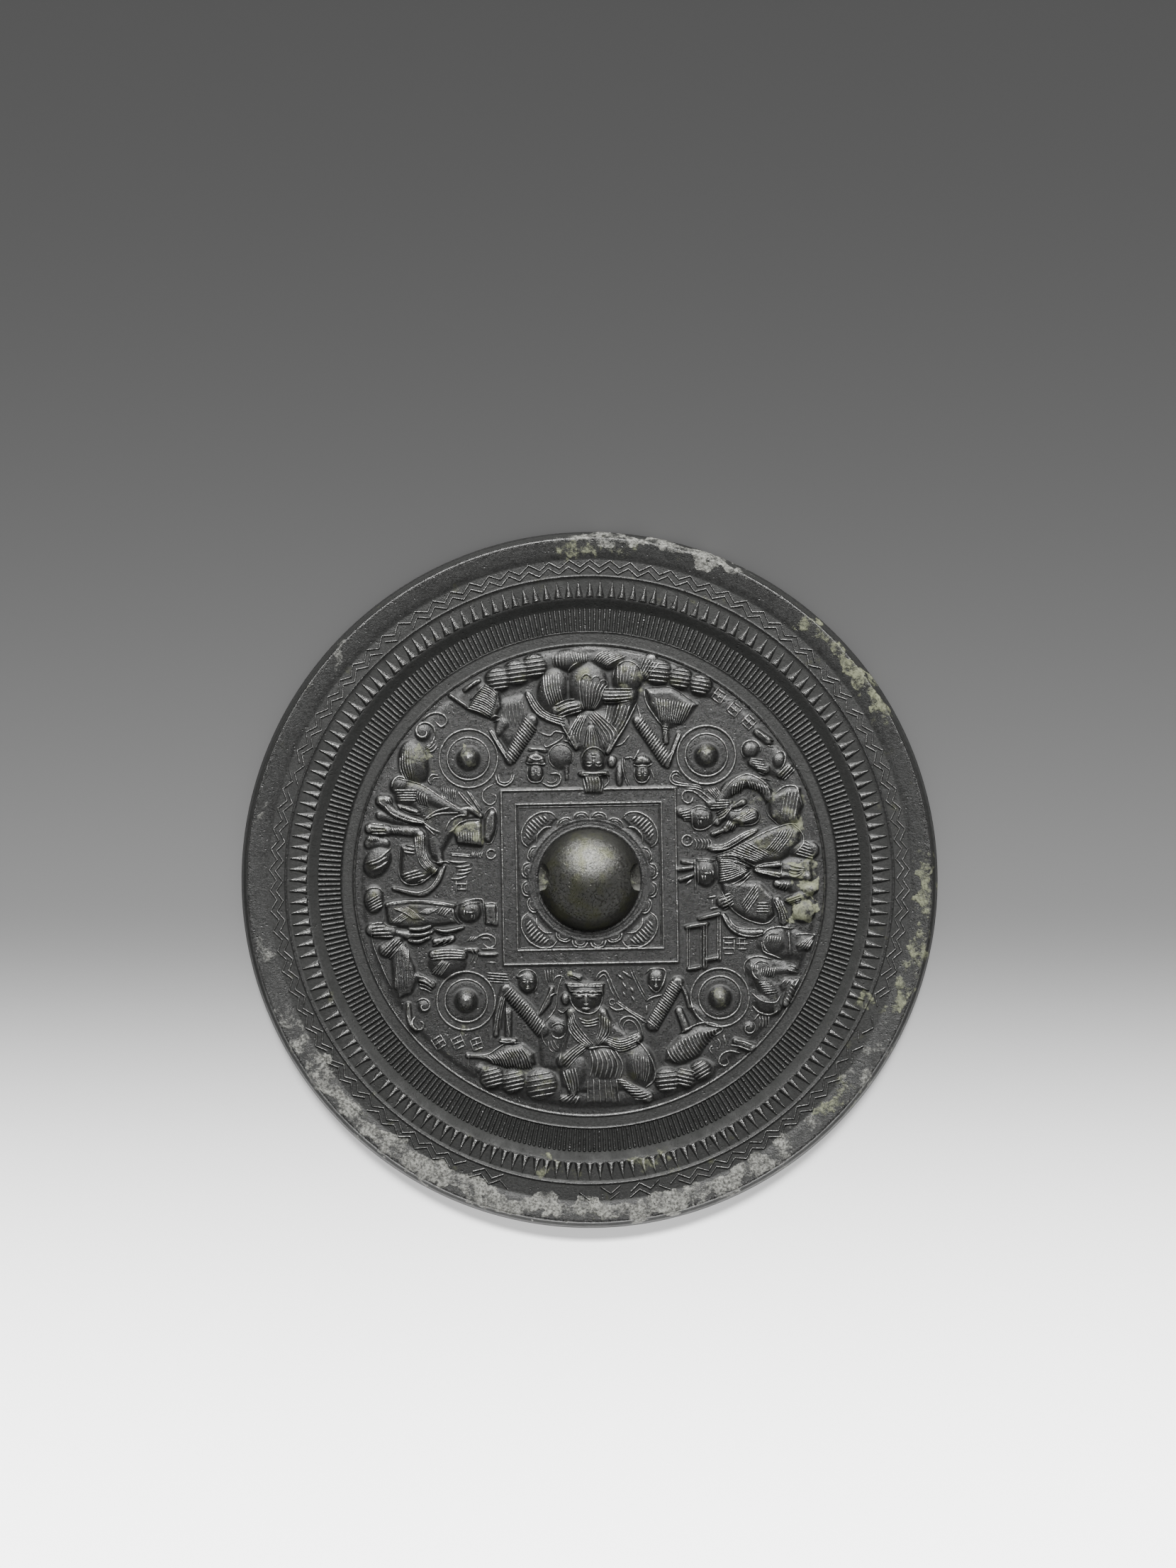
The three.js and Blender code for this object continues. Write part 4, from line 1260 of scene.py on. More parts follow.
@dataclass
class WestGroup(FieldPart):
    """Left of the knob: two kneeling figures in hats, one above the other, and a child."""

    domes = (
        (-56.8, 28.6, 3.6, 3.2, 2.3, 20), (-55.2, 25, 3.8, 3.2, 1.8), (-61.4, 24, 2.2, 1.8, 1.8),
        (-65.2, 12.2, 2.4, 1.5, 1.4), (-63.9, 5.6, 3.9, 5.4, 2, -32), (-65, -5.9, 3.1, 4.3, 1.8),
        (-36.2, -9.4, 3.8, 3.5, 2.2), (-42.8, -24.6, 5.9, 5.1, 1.7, 6),
    )
    limbs = (
        ((-54.4, -14.9, 3.5, -0.1, 3.1, 1), (0.8, 1.5, 0.8), 1.7), ((-54.1, -16.6, 3.6, 0, 3.1, 1),
        (0.8, 1.5, 0.8), 1.7), ((-54.4, -18.4, 3, -0.2, 3.3, 1.3), (0.8, 1.5, 0.8), 1.7),
        ((-46.6, -14.9, 3.5, -0.6, 5, 1.2), (0.8, 1.7, 0.8), 1.5), ((-63, 19.5, 8, -2.5), (3, 3, 2), 0.9),
        ((-66, 11, 4, 0), (4,), 1.2), ((-56.5, 28, 6, -2, 7, -3.5, 6, -2.5), (6.4, 6.4, 4.6, 3), 1.9),
        ((-57.4, 22.2, 5.4, -1.8), (1, 1.8, 1), 1.6), ((-62.6, 23.8, 3, -3, 4.6, -2, 5, -1.4),
        (4, 3.2, 2.6, 1.2), 1.8), ((-39.8, 21.2, 3.8, 0.1, 3.1, -1.9), (1.6, 2.6, 2), 1.7),
        ((-66, 15.5, 5, -0.5), (3.6,), 1.7), ((-60.5, 15, 8.5, -0.5), (2.6, 3.4), 1.4),
        ((-51, 13.5, 0, -5, 2, -3.5, 2, -2), (3.8, 3.6, 3.8, 3), 2.1), ((-47, 12.5, 2, -7),
        (4, 4, 2.4), 1.3), ((-59, -2.6, 7.6, -1.6, 3.4, 1.4, 2.6, 3, 1.6, 3.8),
        (1, 1.6, 2, 2, 1.8, 1), 1.3), ((-61, -7.4, 9, 0.8, 11, -1.2), (1.4, 1.8, 1.6), 1.9),
        ((-65.5, -15, 6, -0.5), (4, 4.2), 1.7), ((-57.5, -16, 2.5, -0.5), (2.6, 3.2), 1.6),
        ((-46.5, -18.5, 5, 1), (2, 2.4), 1.3), ((-61.5, -21, 4, 3), (4.6, 3), 1.4), ((-47, -22.5, 8.5, 0),
        (3.2, 3.8), 2), ((-38, -21.2, 4, 0), (1, 1.2), 1), ((-33.1, -22.5, 5, 0), (0.8,), 0.8),
    )
    plates = (
        ((-60, 29, 4, 2, 5.5, -2, 13.5, -8.5, 3.5, -1, -5.5, -4, -3, -3.5, -3.5, -6.5, -3, 1, -2.5, 11.5,
          -3, 4, -5, 2), 1.2, 1.8),
        ((-57, 10.5, -0.5, -9, 2, -3, 5.5, 0.5, 5, 4.5, -5, 5, -1.5, 3), 1.6, 1.8),
        ((-62, -7, 4, 1, 12, -0.5, 6, -1.5, 0, -5, -14, -2, -7, 1), 1.7, 1.6),
        ((-32, -7, 4, 0, 0.5, -7, -4, 0.5), 1.1, 0.8),
        ((-60.5, -20, 5, 1.5, 3, -7.5, 1, -4.5, -2, -4, -4, -1.5, -2, 4), 1.3, 1.6),
        ((-40.5, 16, 3, 2, 5, 0.5, 0.5, -8.5, -8, 1, -1, 3), 2.1, 1),
        ((-32.5, 12, 0.5, 6.5, 2, 3, 2, -0.5, 0, -6, -2, -4), 1.3, 1.2),
    )
    leaves = {
        0.75: ((-42.6, 5.8, 2.8, -0.5, 2.8, 0.2), (-40.6, 4, 2.3, 0, 2.2, 0.5),
        (-40, 2.9, 2.3, 0, 2.3, 0.6), (-40.4, 1.7, 2.4, 0.1, 2.3, 0.8), (-41.8, 0.3, 2.4, 0.1, 2.4, 0.8)),
        0.6: ((-54.4, -14.7, 3.5, -0.1, 3.1, 1), (-54.1, -16.4, 3.6, 0, 3.1, 1),
        (-54.4, -18.2, 3, -0.2, 3.3, 1.3), (-46.6, -14.8, 3.5, -0.6, 5, 1.2),
        (-45.7, -15.8, 2.6, -0.6, 2.8, 0.2)),
    }
    lines = {
        0.6: ((-59.6, 27.8, 0.6, 2.2, 1.6, 1.2, 2, -0.6), (-50, 18, 3.5, 2.6, 4.3, 1.2),
        (-50, 17.3, 2.6, -1.9, 2.6, -1.1), (-67.6, 5, 4.2, 1.6, 3.7, 3.1),
        (-67.6, -3.4, 1.6, 1, 2.6, -0.1, 1.4, -1.5), (-33.1, -22.4, 5, 0),
        (-37.9, -21, 2.1, 0.3, 1.8, -0.2)),
        0.5: ((-31, -24.8, 3, -0.1), (-32.6, -20.8, 4.2, 0.1),
        (-61.8, 22.4, 2.4, -2.5, 4.4, -1.9, 4.8, -0.9), (-49.2, 18.2, 3.6, 1.7, 6, 0.3),
        (-49.8, 16.5, 3.5, -3.3), (-43.6, 14.8, 1.4, 2.8, 2.6, 1.7, 2.6, 0.2),
        (-42.4, 14.4, 1.4, 0.8, 1.6, 1.8, 2.8, 1, 4, 0.2), (-39.8, 26.8, 2.8, -3.4, 4, -3.6),
        (-36.9, 26.8, 4.2, -6.4),
        (-29.2, 28.8, -2.6, -1.7, -0.5, -2.2, 0.9, -1.6, 1.4, -0.6, 1.5, 0.8, 0.4, 1.7, -1.5, 0.8),
        (-47.6, 5.6, 2, -0.4, 2, 0.4, 1.6, -0.6), (-61.6, -8.2, 2.4, 1.4, 6.6, 0.5, 7, -0.4, 5.6, -1.1),
        (-41.2, -8.8, 0.4, -2.6, 1.8, -2), (-39.6, -7.6, 3.2, 1.5, 4.1, 0.2, 0.2, -3.5),
        (-31.8, -7.2, 3.6, -0.2, 0.3, -6),
        (-34.6, -18.6, 1.1, 1.6, 2.6, 0.7, 2.4, -1.2, -0.1, -2.2, -1.9, -0.7, -1.5, 1.2)),
        0.45: ((-63.4, 25.4, 0.2, -2, 1.6, -1.2),
        (-32, 17.5, 0.6, 2.8, 2, 1.5, 1.3, -1.4, 0.2, -4.2, -1.5, -4.8, -2.2, -0.6),
        (-59, -2.4, 3.4, -0.8, 4, -0.6, 3.2, 1.2, 2.4, 2.8, 1.6, 3.6)),
        0.42: ((-57.2, 10, -0.2, -8, 2, -3, 3.8, -0.2, 4.6, 3.2, 1.6, 2.2),
        (-36, -20.6, 1.2, -2, -1.2, -2.8), (-34.8, -20.6, 1, -2.2, -1.2, -2.8), (-31.9, -7.6, 0.3, -5.8)),
        0.4: ((-33, -17.6, 2.6, 0, 0.8, -1.2), (-57.9, 23, 1.4, -1.9, 2.5, -1.1, 3, -0.2),
        (-38.9, 26.6, 5.5, -6.2), (-36.1, 26.4, 3.7, -5.5), (-52, -0.7, 2.4, 1),
        (-40.4, -8.9, 0.4, -2.3, 1.8, -2), (-38.4, -8, 2.2, 0.9, 3.2, 0.2),
        (-65.8, -14.2, 0.6, -5.2, 2.9, -7.4, 2.9, -6.2)),
        0.36: ((-58.4, 30.6, 7.4, -1.8, 6.4, -4, 6.2, -4), (-62, -10.4, 0.4, -3, 3.6, -1)),
    }
    curls = (
        (-29.7, 7.8, 1.4, 1.4, 0, 360, 0.5),
    )
    bundles = (
        ((-59, 27, 7, 0), (1.5, -3, 5.5, 0), 5), ((-51.5, 27, -0.5, -2, 1, -2.5),
        (2.5, -1.5, 0, -1.5, 0.5, -2), 5), ((-66, 17, 4.5, -0.5), (0, -3, 4.5, 0), 4),
        ((-66.5, 4.5, 3, 1, 2.5, 1.5), (1, -1.5, 2.5, 1, 2, 1.5), 2, 0.6), ((-55.5, 10.5, 3, -0.5),
        (-0.5, -2, 3.5, -0.5), 3, 0.6), ((-52.5, 13, 0.5, -4.5, 1, -3.5, 2.5, -2.5),
        (3, 1, 0, -5, 1, -3, 2, -2), 6), ((-56.5, 1.5, 5, 1.5), (1, -1.5, 6, 1.5), 3, 0.6),
        ((-42, 8, 6.5, -0.5), (0, -0.5, 6.5, -0.5), 2, 0.4), ((-67, -6.5, 3.5, 2), (1, -3, 4, 2), 5),
        ((-59, -8.5, 3.5, -1.5, 3, -2), (3.5, 0.5, 2.5, -1.5, 2.5, -2.5), 5), ((-60, -13, 4, 3),
        (2.5, 0, 3, 2), 4), ((-51.5, -10, 3, 1.5), (2.5, -0.5, 3.5, 2), 5), ((-46, -10.5, 2, 2.5),
        (2, -0.5, 2.5, 2.5), 4), ((-66, -13.5, 2, 0.5, 2, 0), (0.5, -3.5, 3.5, 0, 3, 0), 5, 0.55),
        ((-47.5, -20, 2, 1, 2, 1.5), (3, 0, 2, 1, 1.5, 1.5), 3), ((-63, -22, 4.5, 4.5),
        (2.5, -2, 4.5, 5), 5), ((-57.5, -19.5, -1, -13.5), (3, -0.5, -0.5, -12.5), 8),
        ((-47.5, -21.5, 5, 0.5, 5, -0.5), (-0.5, -2.5, 5, 0.5, 5.5, 0), 4, 0.55), ((-47.5, -27.5, 3.5, 3.5),
        (2.5, -1, 2.5, 4), 5), ((-37, -18.5, 1.5, 1.5), (1.5, 0, 1.5, 1.5), 3),
    )
    combs = (
        ((-62, 24.5, 2.5, -0.5), (1, -1.5, 2, -0.5), 3), ((-58.5, 20, 5, -1.5),
        (-1, -1.5, 5, -1.5), 7, 0.4), ((-40, 14.5, 7, 0), (0.5, -3, 6.5, -1), 9), ((-45, 28, 5, -0.5),
        (0.5, -3.5, 4, -1.5), 8, 0.4), ((-67, 13.5, 3.5, -0.5), (1, -2, 3, 0), 5, 0.4), ((-60, 16, 3, 0),
        (1, -2, 3, 0.5), 5), ((-35.5, 8.5, 3.5, 0), (0, -2, 3.5, 0), 6, 0.42, -0.3),
    )
    faces = (
        (-36, -9.8, 5.4, -90),
    )


@dataclass
class EastGroup(FieldPart):
    """Right of the knob: two attendants, a kneeling figure on a mat, and a small pavilion."""

    domes = (
        (33.6, 18.8, 3.7, 3.6, 2), (35, 2.2, 3.5, 4.3, 2), (61.4, 3.2, 4.4, 2.4, 2),
        (66, -2.7, 2.9, 1.9, 2.3), (64.4, -9.3, 3.7, 3.7, 2.4, -30), (55.4, -18.8, 4.6, 4.2, 1.3),
        (51.6, -27, 4.8, 3.6, 1.3, -10),
    )
    limbs = (
        ((29.7, -14.6, 0, -11.4), (0.9,), 1, FLAT), ((34.5, -13.5, 0, -12.5), (2.4,), 1, FLAT),
        ((39, -10.8, 0, -13.2), (1.4,), 1, FLAT), ((39.5, 24, 3, 4, 5, 2, 4.5, -1.5, 2, -3.5),
        (4, 4.6, 4.4, 4.4, 3.4), 1.9), ((27.5, 20.5, 3.5, -0.5), (3.4, 4), 1.2), ((36.5, 23, 5.5, 0),
        (3.4, 3.2), 1.3), ((42.4, 21.6, 3.8, 1.8), (1.4, 2.4), 1.9), ((43.5, 19, 5, 0.5), (5, 5.6), 2.1),
        ((38.5, 17.5, 3.5, 3.5), (2.6, 3), 1.4), ((41, 15.5, 2.5, 2), (2.8, 3.2), 1.7),
        ((37, 13.8, 3.4, 1.3), (1.2, 1.8), 1.4), ((36.5, 9.7, 3.9, 0.2, 6.2, 3.5, 3.6, 1.6),
        (2, 2, 2, 1.8, 1), 1.3), ((62, 9.5, 4.5, -0.5), (5, 5.4), 1.2), ((28, 5.4, 3, -0.4),
        (1.2, 1.4), 1.1), ((26.8, 3.2, 4.2, 0.6), (1.6, 1.4), 1.2), ((27.4, 0, 3.6, 1.4), (1.4, 1.2), 1.2),
        ((49.8, 3.8, 7.4, 0.9), (1, 2, 2), 2), ((49.8, 3, 7.6, -1.3), (1, 2.2, 2.2), 2),
        ((58, 1.5, 7.5, -0.5), (2.4, 3.6), 2), ((59.4, -6, 5, 1.4), (1.6, 4), 1.8),
        ((40.4, -10.6, 2.4, -3.4, 4.2, -1.8, 5, 0.2), (1.6, 2.6, 2.6, 1.8), 1.3), ((40, -6.5, 3, 1),
        (4, 4.2), 1.5), ((56.5, -6, 1.5, -3.5, 0.5, -3), (2.4, 3, 2.6), 1.4), ((56.5, -1, 3.5, -0.5),
        (2.6,), 1.6), ((29.2, -14.3, 6.2, 1.1), (1.2, 1.4), 1.5), ((33.1, -11.7, 5.8, 1.5),
        (1.2, 1.6), 1.5), ((29.8, -26.9, 3.2, 0.6), (1, 1.2), 1.4), ((35, -24.1, 3.2, 0.7),
        (1.2, 1.4), 1.4), ((59.5, -14.5, 1, -7.5), (2.6, 3, 2), 0.9), ((55, -27.5, 6, 0.5),
        (3.4, 2.6), 0.9),
    )
    plates = (
        ((52.5, 30, 3.5, -3.5, 4, 2, 3.5, -0.5, 1, -5.5, -1.5, -5, -5.5, -1.5, -3.5, 3), 1.5, 1.8),
        ((37.5, 7, 16.5, 9, 6, 1.5, 3.5, -2.5, 0.5, -4, -6.5, -6, -7.5, -1), 1.9, 2.4),
        ((39, 0, 12.5, -0.5, 4.5, -4.5, 0, -5.5, -3, -2.5, -5.5, 1, -5, 3, -2.5, 4), 1.4, 1.7),
        ((57.5, 6, 4.5, 1, 5, -0.5, 0.5, -6.5, -1, -6, -6, 1.5, -3, 4.5), 1.2, 1.6),
        ((47, -23, 6, 0.5, 7, -2.5, 1, -6, -6, -3.5, -7, 2.5), 0.6, 2),
        ((50.5, -15, 9.5, 1.5, 6, -3.5, -2, -7, -10, 0, -4, 4), 0.6, 2),
        ((38.5, 7, 5.5, 0.5, 4.5, -3, -1, -3.5, -5.5, -3, -3.5, 1), 1.5, 1.4),
        ((61.5, -19.5, 2.5, 2.5, 4, 0.5, -1.5, -4.5, -4, -1), 1.2, 1.2),
        ((56.5, -31.5, 2, 2.5, 5, -0.5, -2, -4, -4, -0.5), 1.2, 1.2),
    )
    leaves = {
        0.65: ((27.3, 5.9, 3.5, -0.8), (26.6, 3.3, 4.4, 0.6), (27.3, 0, 3.7, 1.5), (28.8, -1.6, 2.2, 1.8)),
    }
    lines = {
        0.6: ((42.7, 21.8, 3.6, 2.3),),
        0.55: ((31.7, 6.4, 0.2, -9.4),),
        0.5: ((31.2, 25.1, -0.5, -1.5, -1.3, -0.4, -1.3, 1, -0.2, 1.6, 1.3, 1.1, 2.6, -0.5, 3.9, -3.2),
        (40, 26.2, 2.7, 3.5, 3.9, 2.1, 2.6, -0.3, 3.1, -1.8, 3, -3),
        (56, 26, 1.6, 1.6, 2, 0.8, 2.6, -0.2, 0.7, -2, 1.1, -3.8),
        (30.8, 21.6, 0.1, -3.2, 0.5, -2.8, 2.6, -0.5, 2.6, 1.3, 1.8, 2), (30.6, 21.5, 2.4, 0.9, 3, -1),
        (42.5, 21, 2.5, -0.1, 2.3, 1.6, 0.7, -0.5), (36.9, 13.7, 3.5, 1.5),
        (36.4, 10.4, 3.7, 0.2, 3, 1.5, 3.5, 2.1, 3.7, 1.3), (36.6, 9, 3.9, 0.3, 3.1, 1.3, 3, 2, 3.4, 1.9),
        (40, -10.4, 2.2, -3.9, 3.5, -2.2, 4, -0.5, 2.3, 0.6), (35.7, -5.3, 2.6, 0.5), (36, -8.7, 2.8, 0.5),
        (29.1, -14.2, 2.9, 0.7, 3.5, 0.4), (33, -11.5, 6, 1.5), (30, -26.8, 3, 0.6), (35, -24, 3.3, 0.7),
        (51.8, -17, 1.8, 2, 3.4, 0.9, 3, -0.4, 2, 0.1),
        (47, -28.8, -0.5, 2.8, 1.4, 2.2, 3.1, 0.8, 4.3, -1)),
        0.45: ((28.8, 27.7, 3.9, -0.5, 3, -2.2, 1.3, -1.4),
        (48.4, 22, 2, -1, 0.8, -1.6, -0.8, -2, -2.1, -0.8, -3.7, -0.1),
        (37, 7.2, 5.3, 1.7, 5.2, 2.7, 6.9, 3.5, 6.6, 1.9, 2.1, -1.2), (38.1, 5.8, 0.5, -2.4, -0.2, -3.4),
        (49.6, 3.7, 2.7, 1.1, 4.7, 0.6), (50, 2.7, 7.5, -1.9), (42, -11.4, 1.6, -2.4, 3.4, -0.9, 4.6, 0.1),
        (51.8, -18.6, 0.6, -2.8, 2.6, -1.2, 3, -1.2), (60, -15.6, 0.4, -6.4)),
        0.42: ((60.6, 17.2, 3.2, -2.8, 0.6, -3.4, -2.8, -3),
        (39.6, -3.2, 3.4, -5.6, 4.6, -3.2, 5.4, -1.2, 3.4, 2.6), (48.8, -34, 3.2, -2.4, 4, -0.4, 1.6, 2.2),
        (62, -16.4, 3, 0.2, 3.4, -0.4)),
        0.4: ((37.6, 12.6, 2.6, 1.3), (49.6, 3.5, 3.1, -0.3, 4.3, 0), (57.6, 5.4, 0.3, -2.2, -0.5, -2.3)),
        0.36: ((53, 24, 0.6, -4, 3.4, -3.6), (31.6, 21, 1.8, 0.5, 2.2, -0.7), (32.6, 5.4, 0.2, -7),
        (37, -5.4, 0, -4)),
    }
    curls = (
        (55.4, -19, 3, 3, 60, 190, 0.42), (51.8, -27.2, 2.8, 2.8, 40, 220, 0.42),
        (29.4, 11.9, 1.6, 1.6, 0, 360, 0.5),
    )
    bundles = (
        ((35.5, 27.5, 2.5, -3), (2.5, 0.5, 1.5, -2), 5), ((43.5, 29, -0.5, -1.5, 0, -2),
        (3, 1, -0.5, -2, -0.5, -2), 5), ((47.5, 30, 0.5, -1, 0.5, -1.5), (5.5, -1.5, 1, -1.5, 0, -2), 8),
        ((59, 26.5, -1.5, -8.5), (4, 0, -1.5, -8.5), 5), ((27, 20.5, 3.5, 1), (1, -2.5, 2.5, 0), 5),
        ((36, 21.5, 6, 0.5), (2, 2.5, 4.5, 0), 4), ((38.5, 18, 2, 1, 2, 2.5),
        (-0.5, 2, 1.5, 1, 1.5, 0.5), 4), ((43, 18, 3, 1.5, 2.5, 2), (2, -0.5, 2.5, 0.5, 2.5, 1), 5),
        ((41, 16, 1, 2), (2, -1.5, 1, 2), 5), ((46, 12, 8.5, -4.5), (-4.5, -3.5, 9, -3), 7),
        ((61.5, 15.5, -1.5, -3, -3.5, -4.5), (-4, -0.5, -1.5, -2.5, -3, -3.5), 6),
        ((38, 7, 5, 0.5, 4, -1.5), (0, -1, 4, 0, 3, -1), 3), ((45, 6.5, 5, -2.5),
        (-1.5, -0.5, 5.5, -2.5), 2), ((64.5, 12, 2, -1), (-2.5, -4, 5.5, -1.5), 6), ((32, 6.5, 6, -0.5),
        (0, -0.5, 5.5, -0.5), 2), ((39, 5.5, 2.5, 0, 2.5, -0.5), (0, -6, 4, 1, 5, 2.5), 9),
        ((42.5, -1.5, 3, 1.5, 3, 2.5), (2, -0.5, 2, 1.5, 2, 2), 2), ((60, 4.5, 2.5, -0.5, 2.5, -0.5),
        (0, -3, 2, -0.5, 2.5, 1.5), 4), ((59, -6, 4.5, 1.5), (1.5, -1.5, 3, 1), 4),
        ((57.5, -0.5, -0.5, -1, -1, -0.5), (2.5, 0, -0.5, -1.5, -1, -1.5), 4), ((50.5, -0.5, -5, -7),
        (0.5, -4, -4, -5.5), 5), ((50.5, -7, 3.5, 0), (-0.5, -2.5, 4, 0), 4, 0.55),
        ((39, -5.5, 2, 1, 1.5, 0.5), (1, -3.5, 1.5, 0.5, 2, 1.5), 5), ((55.5, -6.5, 1.5, -3, 0.5, -3.5),
        (2, 0.5, 1.5, -3.5, 1, -3), 4), ((62.5, -20, 2.5, 2), (3, -1, 2, 3), 5),
        ((60, -26, 1.5, 0, 1.5, -1), (-0.5, -1, 2, -0.5, 1.5, -0.5), 2), ((57.5, -31.5, 1.5, 1.5),
        (4, -1, 1.5, 2.5), 4),
    )
    combs = (
        ((53.5, -16.5, 4.5, -0.5), (-0.5, -2.5, 4.5, 0), 6), ((48.5, -25, 2.5, -0.5),
        (0, -2.5, 2, -0.5), 4), ((51.5, -26.5, 5, 0.5), (-0.5, -2.5, 4.5, -0.5), 7),
    )
    faces = (
        (34, 18.6, 5.2, 90), (35.4, 2, 5.6, 90),
    )

    def lay_strokes(self) -> None:
        """Lay the tables of lines, the coils of the sword's grip and the pavilion's posts."""
        super().lay_strokes()
        for index in range(6):
            self.strokes.line(curl(30.2 + 0.9 * index, 10.8, 2.1, 2.1, 55, -110), 0.42)
        for x, top, foot in ((29.4, -14.8, -26.2), (30.1, -14.8, -26.2), (33.6, -14, -26), (34.4, -13.8, -26),
                             (35.2, -13.6, -26), (38.6, -11.2, -23.6), (39.4, -11.2, -24)):
            self.strokes.line([(x, top), (x, foot)], 0.4, Taper.NONE)


@dataclass
class Corners(FieldPart):
    """The places between the groups: beasts, scrolls, clouds and rows of shallow strokes."""

    domes = (
        (-53, 35, 4.6, 7.2, 2.3, 10), (-50.2, 44.4, 2.4, 2.6, 0.8), (48.6, 39.2, 2.8, 2.8, 1.9),
        (57, 36, 2.3, 2.8, 1.7), (-49.9, -38, 2, 2, 0.8), (53.2, -37, 3.8, 3.2, 1.9, -30),
        (48, -44.6, 1.7, 1.7, 0.8),
    )
    limbs = (
        ((-37.6, 57.4, 4.2, 2.6), (1.2, 1.4), 1.1), ((-42, 55.6, 5.2, -3.6), (1, 1.2), 1.1),
        ((50.5, 44.5, 3, -2.5), (2.4, 3.2), 1.6), ((49, 35.5, 4, -2), (3, 3.6), 1.6), ((57.5, 32, 2.5, 2),
        (3, 2.6), 1.4), ((-52, -29, 4.5, -2.5), (2, 2.6), 1.1), ((-54.6, -37.6, 0.6, -5.4, 1.8, -2.2),
        (1.6, 1.8, 1.2), 1.1), ((50.5, -28.5, 3, -4.5, 2.5, -5), (4, 6, 4.4), 1.8), ((61, -31, -2, -6),
        (3, 2.8), 1.6), ((44, -48.5, 5, -2), (2, 3), 1.2),
    )
    lines = {
        0.6: ((-50.5, 48, 2, 1.8, 2.5, 0.6, 2.2, -0.8, 0.9, -1.6, -0.8, -1.3, -1.2, -0.5, -1.4, 1.4),
        (-42, 55.8, 5.2, -3.6), (-38, 56.7, 4.2, 3.5), (50.3, 44.8, 1.7, -1, 1.7, -1.8)),
        0.55: ((49, -37.8, 2, -2, 3.3, -0.8, 2.3, 1.2),),
        0.5: ((-46.7, 43.4, -0.9, -2.4, -1.9, -1.6), (-36.2, 54, 4.4, 4.6),
        (-45.5, 31.5, -2, 0.2, -1.1, -1.7, 1, -1.4), (55.8, 38, 2.2, 0.8, 1, -1.8, -0.6, -2.4, -1.2, -1.6),
        (-54.4, -37, -0.5, -3, 0.9, -3.4, 1.8, -2), (49.2, -42.6, 2, 2.4),
        (43.8, -48.3, 2.8, -0.5, 2.7, -1.2), (42.3, -49.7, 3.1, -0.5, 3.1, -1.2),
        (45.8, -52.2, -3.8, 0.7, -2.5, -1.5, -0.5, -2, 1.5, -1, 1.4, 0.8, -0.5, 1.4)),
        0.45: ((40.5, -46.5, 0.1, -1.5, 0.6, -1.5), (37, -49.6, -0.8, -1.6, 1.2, -1.4)),
        0.36: ((-44.9, 30.7, -2.1, 0, -0.6, -1.1),),
    }
    curls = (
        (-50, 44.6, 3.6, 0.8, -20, 400, 0.6), (48.6, 39.2, 2.9, 2.9, -20, 250, 0.5),
        (-49.9, -38, 2.5, 0.6, 150, -380, 0.55), (-51.2, -43.4, 2.6, 0.7, 120, 330, 0.55),
        (48, -44.6, 2.2, 0.5, 60, -400, 0.5),
    )
    bundles = (
        ((-57, 37, 0, -3.5, 1.5, -3.5), (3, 4, 0, -5.5, 1, -5.5), 5), ((-48.5, 38.5, 1.5, 0.5, 1, 1.5),
        (-1, 1.5, 1.5, 1, 1, 1), 3), ((-30, 48.5, 1.5, 1, 1.5, -0.5), (1, -1, 1, 0.5, 1, 0.5), 2),
        ((54, 42.5, 1.5, -0.5), (-0.5, -2, 2, -0.5), 3), ((56.5, 31.5, 3.5, 3.5),
        (2, -1.5, 3.5, 3.5), 4, 0.55), ((50.5, 32.5, 2.5, -1), (0.5, -1.5, 3.5, -1), 2),
        ((-52, -29, 2.5, -0.5, 2.5, -2), (0.5, -3.5, 2, -0.5, 2, -1), 4, 0.55), ((-44, -24, -3.5, -4.5),
        (2, -1, -3, -4), 4), ((51, -41, 0.5, -1.5, -0.5, -2), (3, 0, 0, -2, 0, -1.5), 4),
    )
    combs = (
        ((-31.5, 59, -3, -3.5, -2.5, -4), (4, -3, -1, -4, -1.5, -3.5), 13, 0.45, 0.4), ((48, 37, 2, -3.5),
        (4.5, -0.5, 1.5, -4), 5), ((50.5, -30.5, 2.5, -4), (3.5, 0, 3, -3.5), 6), ((61, -30.5, -2, -5.5),
        (1.5, -1.5, -2, -5.5), 5),
    )
    plates = (
        ((-37.5, 51.5, 3, 4.5, 3, 3.5, 4.5, -2.5, 1, -5, -2.5, -4), 1.6, 1.4),
        ((45.5, 37, 3.5, 6, 5.5, -1.5, 5, -3.5, 2, -5, -4.5, -2.5, -7, 2.5), 0.7, 2),
        ((48.5, -37, 2, 7, 6.5, 0.5, 3.5, -4, -3.5, -7, -6, 0), 0.8, 2.2),
    )

    def lay_strokes(self) -> None:
        """Lay the tables of lines, and the rows of shallow strokes that stand in for inscriptions."""
        super().lay_strokes()
        for block in ((-45.4, -49, 3, 3, 32), (-39.6, -49, 3, 3, 25), (-34, -49.4, 3, 3, 20),
                      (39, 55.4, 3, 3, -36), (43.6, 51.4, 3, 3, -40), (48, 47.6, 3, 3, -45),
                      (42, -19.8, 3, 4, 0), (46, -19.2, 2, 3, 0), (-38.6, -2, 3, 2, 0)):
            self.shallow_marks(*block)

